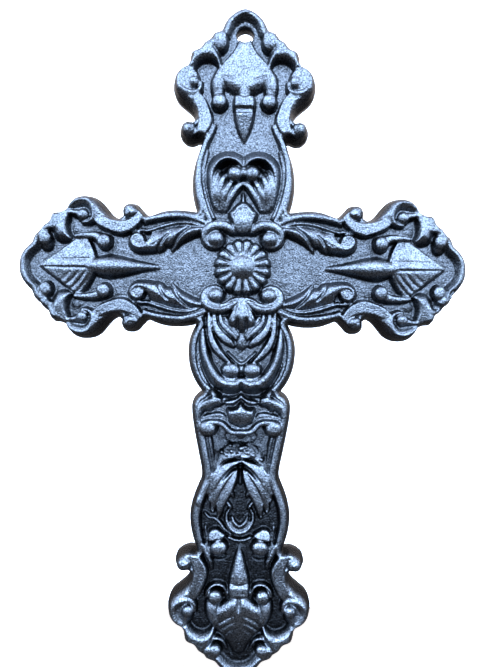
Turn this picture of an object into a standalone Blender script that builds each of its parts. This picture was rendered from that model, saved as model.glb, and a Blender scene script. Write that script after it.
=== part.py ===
"""Cast iron wall cross: one sand casting with scroll and leaf relief on a flat back.

Axes: X to the right, Z up, the flat back on the plane Y = 0 and the relief towards -Y.
The origin is the centre of the hanging hole, on the back plane.
The relief is drawn in millimetres about the centre of the crossing, x right and z up.
"""
import bmesh
import bpy
import numpy as np

# Driving dimensions, in millimetres
MM = 0.001
END_REACH = 103.0          # crossing to the tip of a side end
TOP_REACH = 107.9          # the same along the top end, whose arch takes the hole
TOP_SHIFT = 11.5           # the top end stands this much further out than a side end
FOOT_SHIFT = 83.5          # and the foot end this much, below the long shaft
ARM_HALF = 27.1            # widest half width of an arm, back plane
NECK_HALF = 23.7           # widest half width of the upright above the crossing
CUP_HALF = 24.8            # widest half width just below the crossing
SHAFT_HALF = 23.1          # widest half width of the shaft
WAIST_HALF = 18.0          # narrowest half width of the shaft
FLOOR = 6.5                # thickness of the plain sand-cast ground
RIM = 9.6                  # thickness at the crest of the rim
EDGE = 2.5                 # straight edge next to the wall, under the rounded side
ROLL = 3.9                 # how far in the rounded side reaches
RIM_IN = 3.2               # where the rim starts to fall back to the ground
CAP = 11.4                 # thickness that carving may reach near the edge
CAP_ROLL = 4.4
SINK = 0.4                 # carving starts this far under the ground
HOLE_AT = 107.0            # hanging hole, above the crossing
HOLE_RADIUS = 4.1
PITCH = 0.8                # spacing of the surface points before thinning
SOFTEN = 0.35              # spread of the samples that are averaged at a point
EASE_ROUNDS = 1
EASE_SHARE = 0.3
TRIANGLES = 9400

COLOUR = (0.105, 0.115, 0.135, 1.0)
ROUGHNESS = 0.42
METALLIC = 0.9


# Curves and relief strokes

def smooth(rows, closed=False, steps=6):
    """Even curve through the rows; every column is carried along."""
    p = np.array(rows, float)
    if closed:
        p = np.vstack([p[-1], p, p[0], p[1]])
    else:
        p = np.vstack([2 * p[0] - p[1], p, 2 * p[-1] - p[-2]])
    t = np.linspace(0, 1, steps, endpoint=False)[:, None]
    spans = []
    for a, b, c, d in zip(p, p[1:], p[2:], p[3:]):
        spans.append(0.5 * (2 * b + (c - a) * t + (2 * a - 5 * b + 4 * c - d) * t ** 2
                            + (3 * b - a - 3 * c + d) * t ** 3))
    return np.vstack(spans + [p[-2][None]])


def along_line(place, line, reach):
    """Points near a line: which they are, their distance, and the line's data there."""
    a, b = place
    low = line[:, :2].min(0) - reach
    high = line[:, :2].max(0) + reach
    near = np.flatnonzero((a > low[0]) & (a < high[0]) & (b > low[1]) & (b < high[1]))
    a, b = a[near], b[near]
    best = np.full(len(near), np.inf)
    data = np.zeros((len(near), line.shape[1] - 2))
    for start, end in zip(line, line[1:]):
        step = end[:2] - start[:2]
        t = ((a - start[0]) * step[0] + (b - start[1]) * step[1]) / max(step @ step, 1e-12)
        t = np.clip(t, 0, 1)
        gap = (a - start[0] - t * step[0]) ** 2 + (b - start[1] - t * step[1]) ** 2
        closer = gap < best
        best[closer] = gap[closer]
        data[closer] = start[2:] + t[closer, None] * (end[2:] - start[2:])
    return near, np.sqrt(best), data


def hump(t, flat, power):
    """Cross-section of a raised form: full height to the flat share, then round to nothing."""
    t = np.clip((t - flat) / (1 - flat), 0, 1)
    return (1 - t * t) ** power


class Relief:
    """Thickness of the casting at a set of points, built up one carved form at a time."""

    def __init__(self, x, z):
        self.x = x
        self.z = z
        self.height = np.full(len(x), FLOOR)
        self.upright = (np.abs(x), z)
        self.arms = (np.abs(x), np.abs(z))
        side = (np.abs(z) < 35) & (np.abs(x) > 30)
        top = z > 50
        foot = z < -124
        out = np.select([side, top, foot], [np.abs(x), z - TOP_SHIFT, -z - FOOT_SHIFT], -999.0)
        across = np.where(side, np.abs(z), np.abs(x))
        self.ends = (out, across)
        self.side_ends = (np.where(side, out, -999.0), across)
        self.upright_ends = (np.where(side, -999.0, out), across)

    def raise_to(self, points, height):
        self.height[points] = np.maximum(self.height[points], height)

    def rib(self, place, rows, flat=0.0, power=0.6):
        """Raised band; its rows are place, place, half width and height of the crest."""
        line = smooth(rows)
        near, gap, data = along_line(place, line, line[:, 2].max())
        width, crest = data[:, 0], data[:, 1]
        on = gap < width
        base = FLOOR - SINK
        height = base + (crest - base) * hump(gap / width, flat, power)
        self.raise_to(near[on], height[on])

    def boss(self, place, at, size, crest, flat=0.0, base=FLOOR - SINK, turn=0.0):
        """Raised knob or disc, oval, turned by degrees; a crest under its base sinks it."""
        a, b = place[0] - at[0], place[1] - at[1]
        c, s = np.cos(np.radians(turn)), np.sin(np.radians(turn))
        reach = np.hypot((a * c + b * s) / size[0], (b * c - a * s) / size[1])
        on = np.flatnonzero(reach < 1)
        shape = hump(reach[on], flat, 0.5)
        if crest < base:
            self.height[on] += (crest - base) * shape
        else:
            self.raise_to(on, base + (crest - base) * shape)

    def panel(self, place, rows, top, flank, slope=(0.0, 0.0), power=0.7):
        """Raised panel inside a closed line, its edge rounded off over the flank's width.

        The top is the height at the first row, and the slope says how it changes from there.
        """
        line = np.vstack([rows, rows[:1]])[:, :2]
        bare = np.hstack([line, np.zeros((len(line), 1))])
        near, gap, _ = along_line(place, bare, 0.0)
        a, b = place[0][near], place[1][near]
        inside = within(a, b, line)
        crest = top + slope[0] * (a - line[0, 0]) + slope[1] * (b - line[0, 1])
        base = FLOOR - SINK
        height = base + (crest - base) * (1 - np.clip(1 - gap / flank, 0, 1) ** 2) ** power
        self.raise_to(near[inside], height[inside])


def within(a, b, line):
    """Which points lie inside a closed line."""
    odd = np.zeros(len(a), bool)
    for (a0, b0), (a1, b1) in zip(line, line[1:]):
        if b0 == b1:
            continue
        band = np.flatnonzero((b >= min(b0, b1)) & (b < max(b0, b1)))
        odd[band] ^= a[band] < a0 + (b[band] - b0) * (a1 - a0) / (b1 - b0)
    return odd


# Outline of the back

def end_edge(tip):
    """Half the edge of one end, ball to tip: distance out along the limb, distance across."""
    ball = [(46.4, 26.6), (48.6, 29.0), (51.6, 29.8), (54.4, 28.8), (55.8, 26.4), (55.7, 23.9)]
    scroll = [(55.7, 23.9), (57.6, 22.9), (60.4, 24.4), (63.2, 27.6), (65.8, 30.6), (69.2, 32.5),
              (73.0, 33.0), (76.8, 32.0), (79.6, 29.6), (81.3, 26.6)]
    wing = [(81.3, 26.6), (83.6, 25.6), (86.6, 25.2), (88.2, 23.4), (89.2, 21.0), (91.6, 19.2),
            (93.0, 17.2), (95.6, 15.2), (97.2, 11.4)]
    return [ball, scroll, wing, [(97.2, 11.4)] + tip]


def half_outline():
    """Right half of the outline, top tip to foot tip, as (x, z) points."""
    plain_tip = [(99.6, 9.2), (101.7, 6.2), (END_REACH - 0.2, 3.0), (END_REACH, 0.0)]
    arch_tip = [(100.0, 10.4), (103.2, 8.4), (106.2, 4.8), (107.5, 2.0), (TOP_REACH, 0.0)]
    top = [[(across, out + TOP_SHIFT) for out, across in run] for run in end_edge(arch_tip)]
    side = end_edge(plain_tip)
    foot = [[(across, -out - FOOT_SHIFT) for out, across in run] for run in side]
    arm = [(26, ARM_HALF - 0.3), (31, ARM_HALF), (36, ARM_HALF - 0.5), (40.4, 25.2), (43.6, 24.2),
           (46.4, 26.6)]
    runs = [run[::-1] for run in reversed(top)]
    runs.append([(26.6, 57.9), (23.8, 57.6), (21.0, 58.6), (19.4, 58.8)])
    runs.append([(19.4, 58.8), (20.8, 54.0), (22.6, 48.5), (NECK_HALF, 42.0), (NECK_HALF, 36.0),
                 (22.8, 30.5), (21.6, 26.2)])
    runs.append([(21.6, 26.2)] + arm)
    runs += side
    runs += [[(out, -across) for out, across in run[::-1]] for run in reversed(side)]
    runs.append([(out, -across) for out, across in arm[::-1]] + [(21.4, -25.9)])
    runs.append([(21.4, -25.9), (23.2, -29.5), (24.6, -34.5), (CUP_HALF, -40.0), (23.8, -46.4),
                 (21.4, -52.2), (18.4, -56.6)])
    runs.append([(18.4, -56.6), (20.6, -58.2), (22.2, -60.6), (22.9, -64.0), (22.4, -70.0),
                 (21.0, -78.0), (19.4, -86.0), (18.2, -92.0), (WAIST_HALF, -96.0), (19.4, -100.0),
                 (21.4, -105.0), (22.9, -111.0), (SHAFT_HALF, -117.0), (22.0, -123.5),
                 (20.2, -128.9)])
    runs.append([(20.2, -128.9), (23.4, -128.7), (26.6, -129.9)])
    runs += foot
    lines = [smooth(run, steps=5) for run in runs]
    return np.vstack([line[:-1] for line in lines] + [lines[-1][-1:]])


def nearest_edge(x, z, ring, reach):
    """Distance to the outline and the nearest point on it, for points within reach."""
    gap = np.full(len(x), reach)
    foot_x, foot_z = x.copy(), z.copy()
    for start, end in zip(ring, ring[1:]):
        low = np.minimum(start, end) - reach
        high = np.maximum(start, end) + reach
        near = np.flatnonzero((x > low[0]) & (x < high[0]) & (z > low[1]) & (z < high[1]))
        step = end - start
        t = ((x[near] - start[0]) * step[0] + (z[near] - start[1]) * step[1]) / (step @ step)
        t = np.clip(t, 0, 1)
        px, pz = start[0] + t * step[0], start[1] + t * step[1]
        d = np.hypot(x[near] - px, z[near] - pz)
        closer = d < gap[near]
        pick = near[closer]
        gap[pick] = d[closer]
        foot_x[pick], foot_z[pick] = px[closer], pz[closer]
    return gap, foot_x, foot_z


# Carving of the four ends

def carve_ends(r):
    """Wing, leaf, scrolls and balls, the same on each end and mirrored across it."""
    wing = smooth([(78.4, 27.6), (77.8, 23), (78, 19), (77.8, 14.2), (80.4, 10.6), (85, 10.6), (90.5, 12),
                   (97, 12.4), (97, 20), (89, 28), (82, 28)], closed=True)
    r.panel(r.ends, wing, 10.6, 4.6)
    r.boss(r.ends, (89.5, 10.8), (4.0, 3.9), 11.0, base=5.4)
    leaf = np.array([(66.4, -2), (66.4, 1.4), (67.6, 5.2), (69.2, 9), (71.2, 12.4), (74, 14.4),
                     (77.5, 13), (81.4, 10), (85.2, 6.3), (88.8, 3.2), (91.4, 0), (91, -2)])
    face = Relief(r.x, r.z)
    face.panel(r.ends, leaf, 11.1, 1.7, slope=(0, -0.17))
    lean = 6.3 + 1.05 * ((r.ends[0] - 66.4) * 0.87 - (r.ends[1] - 1.4) * 0.49)
    on = face.height > FLOOR
    r.height[on] = np.maximum(r.height, np.minimum(face.height, np.maximum(lean, FLOOR)))[on]
    r.rib(r.ends, [(78.6, 15.4, 1.5, 9.2), (76.4, 14.6, 2, 9.6), (73, 14.6, 2.2, 9.9), (69, 14.8, 2.3, 10),
                   (65.2, 14, 2.4, 10.1), (62, 12.4, 2, 10)])
    r.boss(r.ends, (62.7, 11.2), (4.3, 4.1), 11.0, base=5.4)
    r.boss(r.ends, (75, 17.4), (3.4, 2.3), 9.6, base=5.4)
    r.boss(r.ends, (72.8, 24.6), (6.5, 6.3), 7.6, flat=0.7)
    r.rib(r.ends, [(81.2, 24.6, 1.6, 9.9), (79, 27.4, 2.5, 10.4), (76, 29, 3.2, 10.8), (72.6, 29.4, 3.3, 10.9),
                   (69.6, 28.2, 3, 10.9), (68, 25.6, 2.5, 10.9), (67.9, 22.6, 2, 10.6), (69.2, 20.6, 1.7, 10.2)])
    r.boss(r.ends, (72.6, 21.8), (4.4, 3.7), 10.9, base=5.6)
    r.rib(r.ends, [(69, 24.4, 1.8, 9.9), (65, 21.7, 2.9, 10.2), (61, 19.5, 3.4, 10.3), (57.4, 18, 3.6, 10.3),
                   (54.8, 17.4, 3.4, 10.3), (51, 18.7, 3.2, 10.3), (48.3, 20.5, 2.7, 10.2),
                   (46.6, 23.4, 1.6, 10)], flat=0.5, power=0.5)
    r.rib(r.ends, [(54.8, 17, 2, 10.2), (54.8, 14.2, 0.8, 9)])
    r.boss(r.ends, (51.2, 22.6), (4.4, 3.6), 8.8, flat=0.4)
    r.boss(r.ends, (55.3, 20.4), (2.6, 2), 10.2)
    r.boss(r.ends, (66, 25.4), (2.6, 2.6), 10.3)
    r.boss(r.ends, (51.6, 25.3), (3.8, 3.8), 11.6, base=5.6)


def carve_stems(r):
    """Stem that runs from each leaf towards the crossing."""
    r.rib(r.side_ends, [(65.8, 0, 5.2, 11.1), (60, 0, 5.9, 11.4), (55, 0, 5.1, 11), (50, 0, 3.6, 10),
                        (45, 0, 2.3, 8.9), (40, 0, 1.4, 7.6), (37, 0, 0.5, 6.6)], power=0.7)
    r.rib(r.upright_ends, [(65, 1.8, 3, 10.9), (62, 1.8, 3.2, 11.2), (59.6, 1.6, 3.2, 10.8)])
    r.rib(r.upright_ends, [(57.5, 0, 4.8, 11), (54, 0, 4.3, 10.6), (50, 0, 3, 9.4), (46, 0, 1.4, 7.6),
                           (44, 0, 0.5, 6.6)], power=0.7)


# Carving of the arms and the crossing

def carve_arms(r):
    """Lip inside the rim and one leaf of three ribs along each edge of each arm."""
    r.rib(r.arms, [(43, 21.4, 1.4, 9.4), (38, 22.4, 1.5, 9.5), (33, 23.1, 1.5, 9.6), (27.5, 23.3, 1.5, 9.6),
                   (21.5, 22.1, 1.5, 9.6), (16, 19.6, 1.4, 9.5)])
    r.rib(r.arms, [(51, 13.8, 1, 8.9), (48.5, 15.2, 1.1, 9), (41, 17.6, 1.1, 9), (36, 19.2, 1.1, 9),
                   (30, 20.2, 1.1, 9), (23, 19.9, 1.1, 9), (17.5, 18.5, 1, 9)])
    r.rib(r.arms, [(45.5, 12.4, 3.2, 8.2), (40, 13, 5.5, 8.4), (33, 14.6, 6, 8.8), (26, 16.2, 4.4, 9.2),
                   (19, 17, 2.6, 9)], flat=0.3, power=0.9)
    r.rib(r.arms, [(45.4, 12.8, 1.5, 10.4), (47.6, 13.6, 1.7, 10.5), (50, 12.2, 1.7, 10.5),
                   (50.2, 9.8, 1.8, 10.5), (47.6, 8.3, 2, 10.6), (44, 8.6, 2.1, 10.7),
                   (40, 10.4, 2.2, 10.8), (36.3, 12.8, 2.3, 10.9), (31, 15.3, 2.4, 10.9),
                   (24.5, 17, 2.2, 10.6), (18.5, 17, 1.8, 9.8)])
    r.rib(r.arms, [(38, 7.7, 1.5, 9.2), (35.6, 9.8, 2, 10), (32, 12.4, 2.1, 10.6), (27.5, 14.9, 2.1, 10.6),
                   (21, 16.6, 1.8, 10)])
    r.rib(r.arms, [(31.6, 9.4, 1.7, 9), (28.5, 11.4, 2, 9.8), (24.5, 14, 2, 10.2), (19.5, 16, 1.7, 9.8)])


def carve_crossing(r):
    """Brackets with volutes above and below, a bud, a palmette, and the rosette between them."""
    petals, reach, eye = 16, 13.3, 6.4
    r.boss(r.arms, (12.6, 13.4), (5.7, 5.6), 8.8, flat=0.2)
    r.rib(r.arms, [(0, 15, 2.6, 9.6), (3.5, 16, 2.3, 10), (7, 18, 2.1, 10.8), (10.5, 18.7, 2.1, 11.2),
                   (14.2, 17.8, 2, 11.2), (16.5, 15, 1.7, 10.9), (16.3, 11.8, 1.4, 10.3),
                   (14, 9.6, 1.1, 9.6)])
    r.boss(r.arms, (12.3, 13.2), (3.7, 2.8), 11.6, base=8.0)
    bud = smooth([(0, 30.2), (2.2, 28.6), (5, 26), (6.4, 23.4), (6.1, 20.5), (4.4, 17), (0, 15.2),
                  (-4.4, 17), (-6.1, 20.5), (-6.4, 23.4), (-5, 26), (-2.2, 28.6)], closed=True)
    r.panel(r.upright, bud, 10.2, 4.2, slope=(0, -0.07))
    palmette = smooth([(0, -13.6), (2.6, -15), (4.8, -18), (6.2, -22), (6.4, -25.6), (4.4, -27.2), (0, -29.8),
                       (-4.4, -27.2), (-6.4, -25.6), (-6.2, -22), (-4.8, -18), (-2.6, -15)], closed=True)
    r.panel(r.upright, palmette, 10.6, 5.2, slope=(0, -0.1), power=0.6)
    out = np.hypot(r.x, r.z)
    turn = np.arctan2(r.z, r.x)
    t = np.clip((out - 5.5) / (reach - 5.5), 0, 1)
    petal = hump(1 - np.abs(np.sin(turn * petals / 2)), 0, 0.6)
    height = 6.3 + (4.3 - 0.6 * t) * np.sqrt(1 - t ** 4) * (0.35 + 0.65 * petal)
    on = np.flatnonzero(out < reach)
    r.raise_to(on, height[on])
    r.boss((r.x, r.z), (0, 0), (eye, eye), 12.8, base=8.0)


# Carving of the upright

def carve_neck(r):
    """Rims and the heart-shaped leaf above the crossing."""
    r.rib(r.upright, [(13.6, 64.5, 1.2, 8.8), (15.6, 60, 1.4, 9.3), (18.2, 55, 1.5, 9.5), (20, 48, 1.5, 9.6),
                      (20.4, 41, 1.5, 9.6), (19.4, 34, 1.5, 9.6), (17.4, 27, 1.5, 9.6),
                      (15, 21.4, 1.4, 9.6), (13.6, 18.6, 1.3, 9.4)])
    body = smooth([(0, 38), (6, 37.6), (8.4, 40), (13, 43.5), (15.5, 40), (14.4, 33), (11.6, 25.4), (9, 24.6),
                   (7.2, 26.4), (4, 31.2), (0, 35.2)])
    r.panel(r.upright, body, 8.8, 1.6)
    r.rib(r.upright, [(0, 46.6, 1.8, 9.6), (2.2, 48.2, 3, 10.6), (6, 49.4, 3.9, 11.2), (10.2, 48.4, 3.9, 11.3),
                      (13.2, 45.2, 3.5, 11.2), (14.4, 40.8, 2.7, 10.8), (14, 36, 2.2, 10),
                      (12.6, 30, 1.9, 9.2), (10.6, 25.4, 1.3, 8)])
    r.boss(r.upright, (6.8, 45), (6.4, 4), FLOOR - SINK - 3.0)
    r.boss(r.upright, (0, 40.4), (7, 3), FLOOR - SINK - 3.0)
    r.boss(r.upright, (4, 43.9), (3.7, 2.8), 11.4, turn=-8, base=5.0)
    r.boss(r.upright, (0, 44.1), (2.6, 2), 10.4, base=5.0)
    ribs = [[(10.4, 43.6, 1, 8.6), (12.1, 40, 1.5, 9.4), (12.3, 35, 1.5, 9.4), (11.5, 30.5, 1.4, 9),
             (10.2, 26.6, 1, 8.2)],
            [(7, 43, 1.1, 9.2), (8.8, 39, 1.7, 9.9), (10.1, 35, 1.7, 9.8), (10.2, 31, 1.5, 9.2),
             (9.5, 27, 1.1, 8.2)],
            [(5.4, 37.6, 1.1, 9.2), (7.4, 35.2, 1.5, 9.8), (8.5, 32, 1.5, 9.4), (8.7, 28, 1.1, 8.4)],
            [(0, 37, 1.2, 9.4), (3.3, 34.9, 1.6, 9.8), (5.9, 31.6, 1.6, 9.4), (7.6, 27.6, 1.1, 8.4)]]
    for rows in ribs:
        r.rib(r.upright, rows)


def carve_cup(r):
    """Rims, the broad U-shaped leaf below the crossing, and the blades that hang into it."""
    r.rib(r.upright, [(18.6, -22.8, 1.4, 9.4), (21, -28, 1.5, 9.5), (22.2, -35, 1.5, 9.5), (22, -41, 1.5, 9.5),
                      (20.4, -47.4, 1.5, 9.5), (17, -53.4, 1.5, 9.5), (12.8, -57.8, 1.4, 9.4),
                      (9.8, -60.4, 1.2, 9)])
    r.rib(r.upright, [(17.7, -28.6, 1.4, 9.6), (18, -32, 2.2, 10.4), (17.6, -37.4, 2.7, 10.9),
                      (16.2, -42.6, 3.1, 11.1), (13.8, -47.4, 3.6, 11.3), (10.4, -51.3, 4.1, 11.4),
                      (6.2, -53.6, 4.6, 11.5), (2.6, -53.2, 4.2, 11.2), (0, -51.8, 2.8, 10)])
    r.boss(r.upright, (4.6, -47.3), (4.1, 3.4), 11.3, turn=8, base=5.0)
    r.boss(r.upright, (0, -56), (2.2, 2.8), FLOOR - SINK - 2.0)
    blades = [[(15, -21.5, 1.5, 8.8), (14.5, -28, 2, 9.6), (13, -33, 2.2, 10), (10.2, -37.6, 2.1, 10.2),
               (6.4, -41.4, 1.9, 10.1), (2, -44.4, 1.7, 9.8)],
              [(12.9, -20.5, 1.5, 9.2), (12, -26.6, 2, 10.1), (9.7, -30.8, 2, 10.3), (6.4, -34, 1.7, 10.1),
               (3, -36, 1.2, 9.2)],
              [(9.6, -22, 1.2, 9), (8.4, -27, 1.5, 9.5), (5.2, -30.8, 1.5, 9.4), (2, -34, 1.2, 8.8)]]
    for rows in blades:
        r.rib(r.upright, rows)
    r.panel(r.upright, np.array([(0, -45), (6.4, -38.6), (-6.4, -38.6)]), 9.0, 1.2, slope=(0, -0.2))


def carve_shaft(r):
    """Rims, bracket and bud at the head of the shaft, draped leaves, and the lower brow."""
    r.rib(r.upright, [(19.6, -64.6, 1.6, 9.8), (19.9, -67.5, 1.5, 9.6), (17.5, -78, 1.5, 9.4),
                      (15.1, -90, 1.5, 9.2), (15.3, -96, 1.5, 9.2), (18.8, -108, 1.5, 9.3),
                      (19.4, -114, 1.5, 9.3), (16.8, -126, 1.5, 9.3), (13.4, -136, 1.2, 8.8)])
    r.rib(r.upright, [(10.4, -60.6, 2.4, 8.8), (14, -61.3, 4.2, 9.7), (17.2, -62.7, 4.4, 9.9),
                      (19.4, -65, 3.4, 9.8)], power=1.0)
    bud = smooth([(0, -57.8), (2.4, -60.6), (6.4, -63.4), (6.3, -67.6), (4.4, -71), (0, -72.4),
                  (-4.4, -71), (-6.3, -67.6), (-6.4, -63.4), (-2.4, -60.6)], closed=True)
    r.panel(r.upright, bud, 10.8, 4.4)
    r.rib(r.upright, [(0, -73.2, 2.6, 8.9), (4.4, -72.8, 2.6, 8.9), (6.6, -70.2, 2.8, 8.9), (9.4, -68.4, 3, 8.9),
                      (13, -68, 3, 8.9), (17.2, -69.2, 2.4, 8.9)], flat=0.5)
    r.rib(r.upright, [(0, -71.8, 1.2, 9.7), (4, -71.6, 1.2, 9.7), (6, -69.4, 1.2, 9.7), (8.8, -67, 1.2, 9.7),
                      (12.6, -66.3, 1.2, 9.7), (17.4, -67.4, 1.1, 9.4)])
    r.rib(r.upright, [(0, -74.5, 1.7, 10.5), (4.8, -74.1, 1.7, 10.5), (7.2, -71.6, 1.8, 10.6),
                      (9.8, -70.1, 1.8, 10.8), (13, -69.9, 1.8, 10.9), (17, -71, 1.6, 10.4)])
    r.boss(r.upright, (14.1, -72.8), (4, 3.7), 11.3, base=5.4)
    r.rib(r.upright, [(1.6, -87.4, 3.8, 8.7), (5, -89.4, 4.4, 9), (9.4, -92, 3.4, 8.9)], power=0.9)
    drapes = [[(1.4, -92.6, 1, 9), (2.8, -96.4, 1.4, 9.8), (4.8, -100.8, 1.6, 9.9), (7.2, -106, 1.8, 9.8),
               (9, -111.4, 1.8, 9.4), (8.4, -117, 1.6, 8.8)],
              [(3, -93.2, 1.3, 9.2), (5.8, -96.6, 1.9, 9.9), (8.4, -100.6, 2.1, 10), (10.6, -105.8, 2.2, 9.7),
               (11.6, -111, 2, 9)],
              [(6, -94.2, 1.3, 9), (9.4, -97.8, 2, 9.5), (11.9, -102.2, 2.1, 9.5), (13, -108, 2, 9)],
              [(0.6, -88.6, 1.4, 9), (4.6, -91, 1.6, 9.6), (9.4, -93.8, 1.6, 9.6)],
              [(4.2, -108.8, 1, 9.3), (5.6, -115, 1.1, 9.2), (4.2, -118.5, 1.1, 9.2), (0, -120.9, 1.1, 9.2)]]
    for rows in drapes:
        r.rib(r.upright, rows)
    r.rib(r.upright, [(14.8, -124, 2, 9.6), (11.6, -122, 3, 10.3), (8.4, -121.8, 2.8, 10.4), (5, -123, 1.9, 10),
                      (0, -124.6, 1.4, 9.4)])
    r.boss(r.upright, (9.5, -127.6), (3.9, 3.2), 11.1, turn=-14, base=5.4)


def carved(x, z):
    """Thickness of the carving at points of the front."""
    r = Relief(x, z)
    carve_ends(r)
    carve_stems(r)
    carve_neck(r)
    carve_cup(r)
    carve_shaft(r)
    carve_arms(r)
    carve_crossing(r)
    return r.height


def thickness(x, z, depth):
    """Thickness of the casting: the carving, the rim that follows the edge, the round side."""
    offsets = ((0, 0), (SOFTEN, 0), (-SOFTEN, 0), (0, SOFTEN), (0, -SOFTEN))
    height = sum(carved(x + dx, z + dz) for dx, dz in offsets) / len(offsets)
    rim = EDGE + (RIM - EDGE) * np.sqrt(1 - np.clip(1 - depth / ROLL, 0, 1) ** 2)
    rim -= 2.2 * np.clip(depth - RIM_IN, 0, None)
    cap = EDGE + (CAP - EDGE) * np.sqrt(1 - np.clip(1 - depth / CAP_ROLL, 0, 1) ** 2)
    height = np.maximum(height, rim)
    return np.where(depth < CAP_ROLL, np.minimum(height, cap), height)


# Solid

def half_sheet():
    """Right half of the front as a mesh: a grid trimmed to the outline and to the hole."""
    ring = half_outline()
    columns = int(np.ceil((ring[:, 0].max() + PITCH) / PITCH))
    rows = int(np.ceil((ring[0, 1] - ring[-1, 1] + 2 * PITCH) / PITCH))
    bm = bmesh.new()
    bmesh.ops.create_grid(bm, x_segments=columns, y_segments=rows, size=0.5)
    for v in bm.verts:
        v.co.x = round((v.co.x + 0.5) * columns) * PITCH
        v.co.z = round((v.co.y + 0.5) * rows) * PITCH + ring[-1, 1] - PITCH
    x, z = places(bm)
    gap = nearest_edge(x, z, ring, 2 * PITCH)[0]
    closed = np.vstack([ring, [(-1, ring[-1, 1]), (-1, ring[0, 1])], ring[:1]])
    clear = within(x, z, closed) & (gap > 0.3 * PITCH)
    clear &= np.hypot(x, z - HOLE_AT) - HOLE_RADIUS > 0.3 * PITCH
    outside = [f for f in bm.faces if not all(clear[v.index] for v in f.verts)]
    bmesh.ops.delete(bm, geom=outside, context="FACES")
    bm.verts.index_update()

    x, z = places(bm)
    rim = np.array([any(e.is_boundary for e in v.link_edges) for v in bm.verts])
    gap, foot_x, foot_z = nearest_edge(x, z, ring, 3 * PITCH)
    from_hole = np.hypot(x, z - HOLE_AT)
    at_hole = rim & (from_hole < HOLE_RADIUS + 2 * PITCH)
    at_edge = rim & ~at_hole & (gap < 2 * PITCH)
    share = HOLE_RADIUS / from_hole[at_hole]
    x[at_hole] *= share
    z[at_hole] = HOLE_AT + (z[at_hole] - HOLE_AT) * share
    x[at_edge] = np.where(x[at_edge] < 0.1 * PITCH, 0.0, foot_x[at_edge])
    z[at_edge] = foot_z[at_edge]
    depth = nearest_edge(x, z, ring, 6.0)[0]
    height = ease(thickness(x, z, depth), bm)
    for v, px, py, pz in zip(bm.verts, x, -height, z):
        v.co = (px * MM, py * MM, (pz - HOLE_AT) * MM)
    bmesh.ops.remove_doubles(bm, verts=bm.verts[:], dist=0.1 * MM)
    return bm


def ease(height, bm):
    """Soften the casting a little: each point moves part of the way to its neighbours' mean."""
    pairs = np.array([(e.verts[0].index, e.verts[1].index) for e in bm.edges])
    a, b = pairs[:, 0], pairs[:, 1]
    count = np.bincount(pairs.ravel(), minlength=len(height))
    for _ in range(EASE_ROUNDS):
        total = np.bincount(a, height[b], len(height)) + np.bincount(b, height[a], len(height))
        height = height + EASE_SHARE * (total / count - height)
    return height


def places(bm):
    """Where the points of the sheet lie, as arrays of x and z."""
    spots = np.array([(v.co.x, v.co.z) for v in bm.verts])
    return spots[:, 0], spots[:, 1]


def close_back(bm):
    """Side walls down to the back plane and the flat back, left open on the plane x = 0."""
    border = [e for e in bm.edges if e.is_boundary and max(v.co.x for v in e.verts) > 1e-6]
    made = bmesh.ops.extrude_edge_only(bm, edges=border)["geom"]
    base = [g for g in made if isinstance(g, bmesh.types.BMVert)]
    for v in base:
        v.co.y = 0.0
    rim = [g for g in made if isinstance(g, bmesh.types.BMEdge) and g.is_boundary
           and all(v.co.y == 0.0 for v in g.verts)]
    middle = sorted((v for v in base if v.co.x < 1e-6), key=lambda v: v.co.z)
    for low, high in zip(middle[0::2], middle[1::2]):
        rim.append(bm.edges.new((low, high)))
    bmesh.ops.triangle_fill(bm, edges=rim, use_beauty=True)
    bmesh.ops.triangulate(bm, faces=bm.faces[:])
    bmesh.ops.recalc_face_normals(bm, faces=bm.faces[:])


def cast_iron():
    material = bpy.data.materials.new("cast_iron")
    material.use_nodes = True
    shader = material.node_tree.nodes["Principled BSDF"]
    shader.inputs["Base Color"].default_value = COLOUR
    shader.inputs["Roughness"].default_value = ROUGHNESS
    shader.inputs["Metallic"].default_value = METALLIC
    return material


def build():
    for old in list(bpy.data.objects):
        bpy.data.objects.remove(old, do_unlink=True)
    collection = bpy.data.collections.new("Cast iron wall cross")
    bpy.context.scene.collection.children.link(collection)
    bm = half_sheet()
    close_back(bm)
    mesh = bpy.data.meshes.new("cross_casting")
    bm.to_mesh(mesh)
    bm.free()
    mesh.materials.append(cast_iron())
    cross = bpy.data.objects.new("cross_casting", mesh)
    collection.objects.link(cross)
    mirror = cross.modifiers.new("other half", "MIRROR")
    mirror.merge_threshold = 0.00001
    thin = cross.modifiers.new("thin to main forms", "DECIMATE")
    thin.ratio = TRIANGLES / (2 * len(mesh.polygons))
    thin.use_symmetry = True
    thin.symmetry_axis = "X"


build()
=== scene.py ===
"""Cast iron wall cross, hung by the hole in its top end, seen in a pale studio.

Axes: X to the right, Z up, the flat back on Y = 0 and the relief towards -Y, all in metres.
The carving is drawn in millimetres about the centre of the crossing, x right and z up.
"""
import math

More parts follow.
